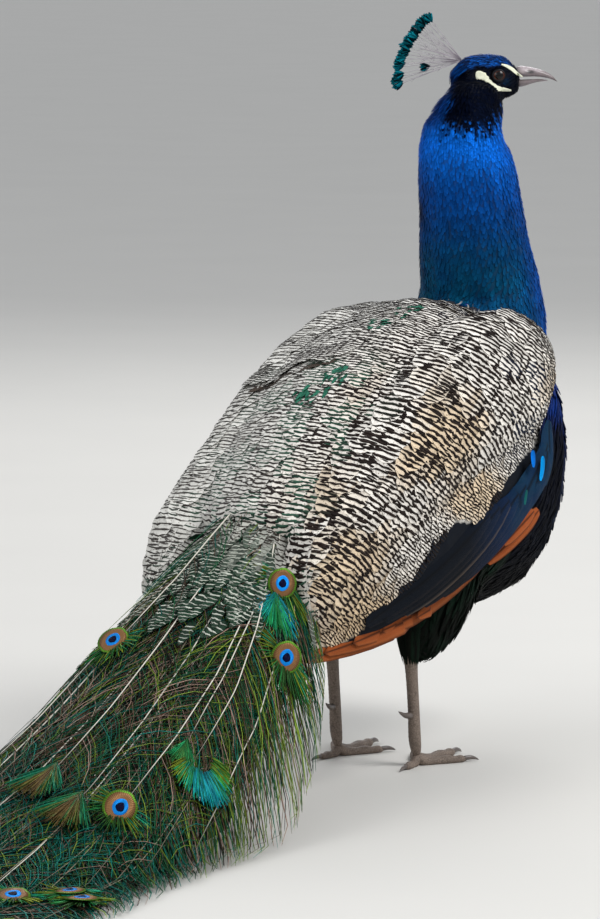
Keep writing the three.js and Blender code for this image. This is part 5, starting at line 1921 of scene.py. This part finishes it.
# ------------------------------------------------------------------ operators
class PEACOCK_OT_skin(bpy.types.Operator):
    """Builds the materials and the one skin under all feathers"""
    bl_idname = "peacock.skin"
    bl_label = "Skin"

    def execute(self, context):
        make_materials()
        build_skin()
        return {"FINISHED"}


class PEACOCK_OT_head(bpy.types.Operator):
    """Builds the bill, eyes, lids, bare face patches, crest and the head's short feathers"""
    bl_idname = "peacock.head"
    bl_label = "Head"

    def execute(self, context):
        build_bill()
        build_eyes()
        build_face_patches()
        build_crest()

        def clear_of_face(points):
            h = bird_to_head(points)
            tips = bird_to_head(points + lie_of_coat(points) * 3.6 * MM)
            away = [np.hypot(p[:, 1] - EYE_PLACE[1], p[:, 2] - EYE_PLACE[2]) for p in (h, tips)]
            open_eye = np.minimum(*away) > EYE_RADIUS * 1.05
            return ((open_eye | (np.abs(h[:, 0]) < 8)) & (h[:, 1] > -35)
                    & off_bare_patches(h, 0.3) & off_bare_patches(tips, -0.3))

        tract("head_coat", ["head"], 1.5 * MM, 4.4 * MM, 1.5 * MM, 1.1 * MM, HAIR, "glossy", "blue_plumage",
              100, keep=clear_of_face, sink=0.3 * MM, thick=0.3, vary=(0.3, 1.5))

        def nape(points):
            return (bird_to_head(points)[:, 1] > 22) & (points[:, 2] > 0.700) & (points[:, 2] < 0.742)

        tract("nape_coat", ["head", "neck"], 2.1 * MM, 14 * MM, 2.6 * MM, 3.0 * MM, LOCK, "glossy",
              "blue_plumage", 150, keep=nape, sink=0.3 * MM, thick=0.2, vary=(0.4, 1.3), stray=0.12)
        return {"FINISHED"}


class PEACOCK_OT_neck(bpy.types.Operator):
    """Builds the feathers of the neck and breast"""
    bl_idname = "peacock.neck"
    bl_label = "Neck and breast"

    def execute(self, context):
        length = settings().coat.neck_feather
        size = lambda p: 0.60 + 0.40 * smoothstep(0.70, 0.56, p[:, 2])
        for name, seed, low, high in (("neck_coat_upper", 200, 0.56, 1.0),
                                      ("neck_coat_lower", 250, 0.0, 0.56)):
            tract(name, ["neck"], lambda p: 3.7 * MM * size(p), lambda p: length * size(p),
                  lambda p: 0.38 * length * size(p), 1.1 * MM, CONTOUR, "glossy", "blue_plumage", seed,
                  keep=lambda p: (p[:, 2] >= low) & (p[:, 2] < high), stray=0.09, vary=(0.72, 1.25),
                  thick=0.045, camber=0.10)
        length = settings().coat.breast_feather
        silky = lambda p: smoothstep(-0.285, -0.235, p[:, 1]) * smoothstep(0.42, 0.36, p[:, 2]) > 0.5
        tract("breast_coat", ["breast"], 5.6 * MM, length, 0.0095, 2.6 * MM, CONTOUR, "glossy",
              "breast_plumage", 300, keep=lambda p: ~silky(p), vary=(0.5, 1.3))
        tract("flank_coat", ["breast"], 5.2 * MM, 1.7 * length, 0.007, 2.0 * MM, LOCK, "soft",
              "breast_plumage", 350, keep=silky, vary=(0.5, 1.6))
        return {"FINISHED"}


class PEACOCK_OT_belly(bpy.types.Operator):
    """Builds the loose dark feathers of the belly and thighs"""
    bl_idname = "peacock.belly"
    bl_label = "Belly and thighs"

    def execute(self, context):
        length = settings().coat.belly_feather
        tract("belly_coat", ["belly"], 7.0 * MM, length, 0.008, 6.0 * MM, LOCK, "soft", "belly_plumage", 400,
              stray=0.25)
        tract("thigh_coat", ["thigh"], 4.8 * MM, 0.9 * length, 0.007, 5.0 * MM, LOCK, "soft", "belly_plumage",
              500, stray=0.22)
        return {"FINISHED"}


class PEACOCK_OT_wings(bpy.types.Operator):
    """Builds the barred mantle and coverts and the long wing feathers"""
    bl_idname = "peacock.wings"
    bl_label = "Wings and back"

    def execute(self, context):
        build_flight_feathers()
        build_coverts(settings().coat)
        return {"FINISHED"}


class PEACOCK_OT_legs(bpy.types.Operator):
    """Builds the scaled shanks and toes, the claws and the spurs"""
    bl_idname = "peacock.legs"
    bl_label = "Legs"

    def execute(self, context):
        build_legs()
        build_boots()
        return {"FINISHED"}


class PEACOCK_OT_train(bpy.types.Operator):
    """Builds the train's shafts, barbs and eye spots, its soft bed and the tail"""
    bl_idname = "peacock.train"
    bl_label = "Train"

    def execute(self, context):
        build_train_bed()
        build_rump()
        build_tail()
        build_train(settings().train)
        return {"FINISHED"}


class PEACOCK_OT_stage(bpy.types.Operator):
    """Sets the pale floor, the soft lights and the camera"""
    bl_idname = "peacock.stage"
    bl_label = "Stage"

    def execute(self, context):
        build_stage(settings().stage)
        return {"FINISHED"}


class PEACOCK_PT_panel(bpy.types.Panel):
    """Lists the peacock's building steps"""
    bl_idname = "PEACOCK_PT_panel"
    bl_label = "Peacock"
    bl_space_type = "VIEW_3D"
    bl_region_type = "UI"
    bl_category = "Peacock"

    def draw(self, context):
        chosen = context.scene.peacock
        for group in (chosen.coat, chosen.train, chosen.stage):
            for key in group.__annotations__:
                self.layout.prop(group, key)
        for step in STEPS:
            self.layout.operator(step.bl_idname)


STEPS = (PEACOCK_OT_skin, PEACOCK_OT_head, PEACOCK_OT_neck, PEACOCK_OT_belly, PEACOCK_OT_wings,
         PEACOCK_OT_legs, PEACOCK_OT_train, PEACOCK_OT_stage)
CLASSES = (PeacockCoat, PeacockTrain, PeacockStage, PeacockSettings, *STEPS, PEACOCK_PT_panel)


def register():
    for item in CLASSES:
        bpy.utils.register_class(item)
    bpy.types.Scene.peacock = PointerProperty(type=PeacockSettings)


def unregister():
    del bpy.types.Scene.peacock
    for item in reversed(CLASSES):
        bpy.utils.unregister_class(item)


def main():
    register()
    for step in STEPS:
        group, name = step.bl_idname.split(".")
        getattr(getattr(bpy.ops, group), name)()


if __name__ == "__main__":
    main()
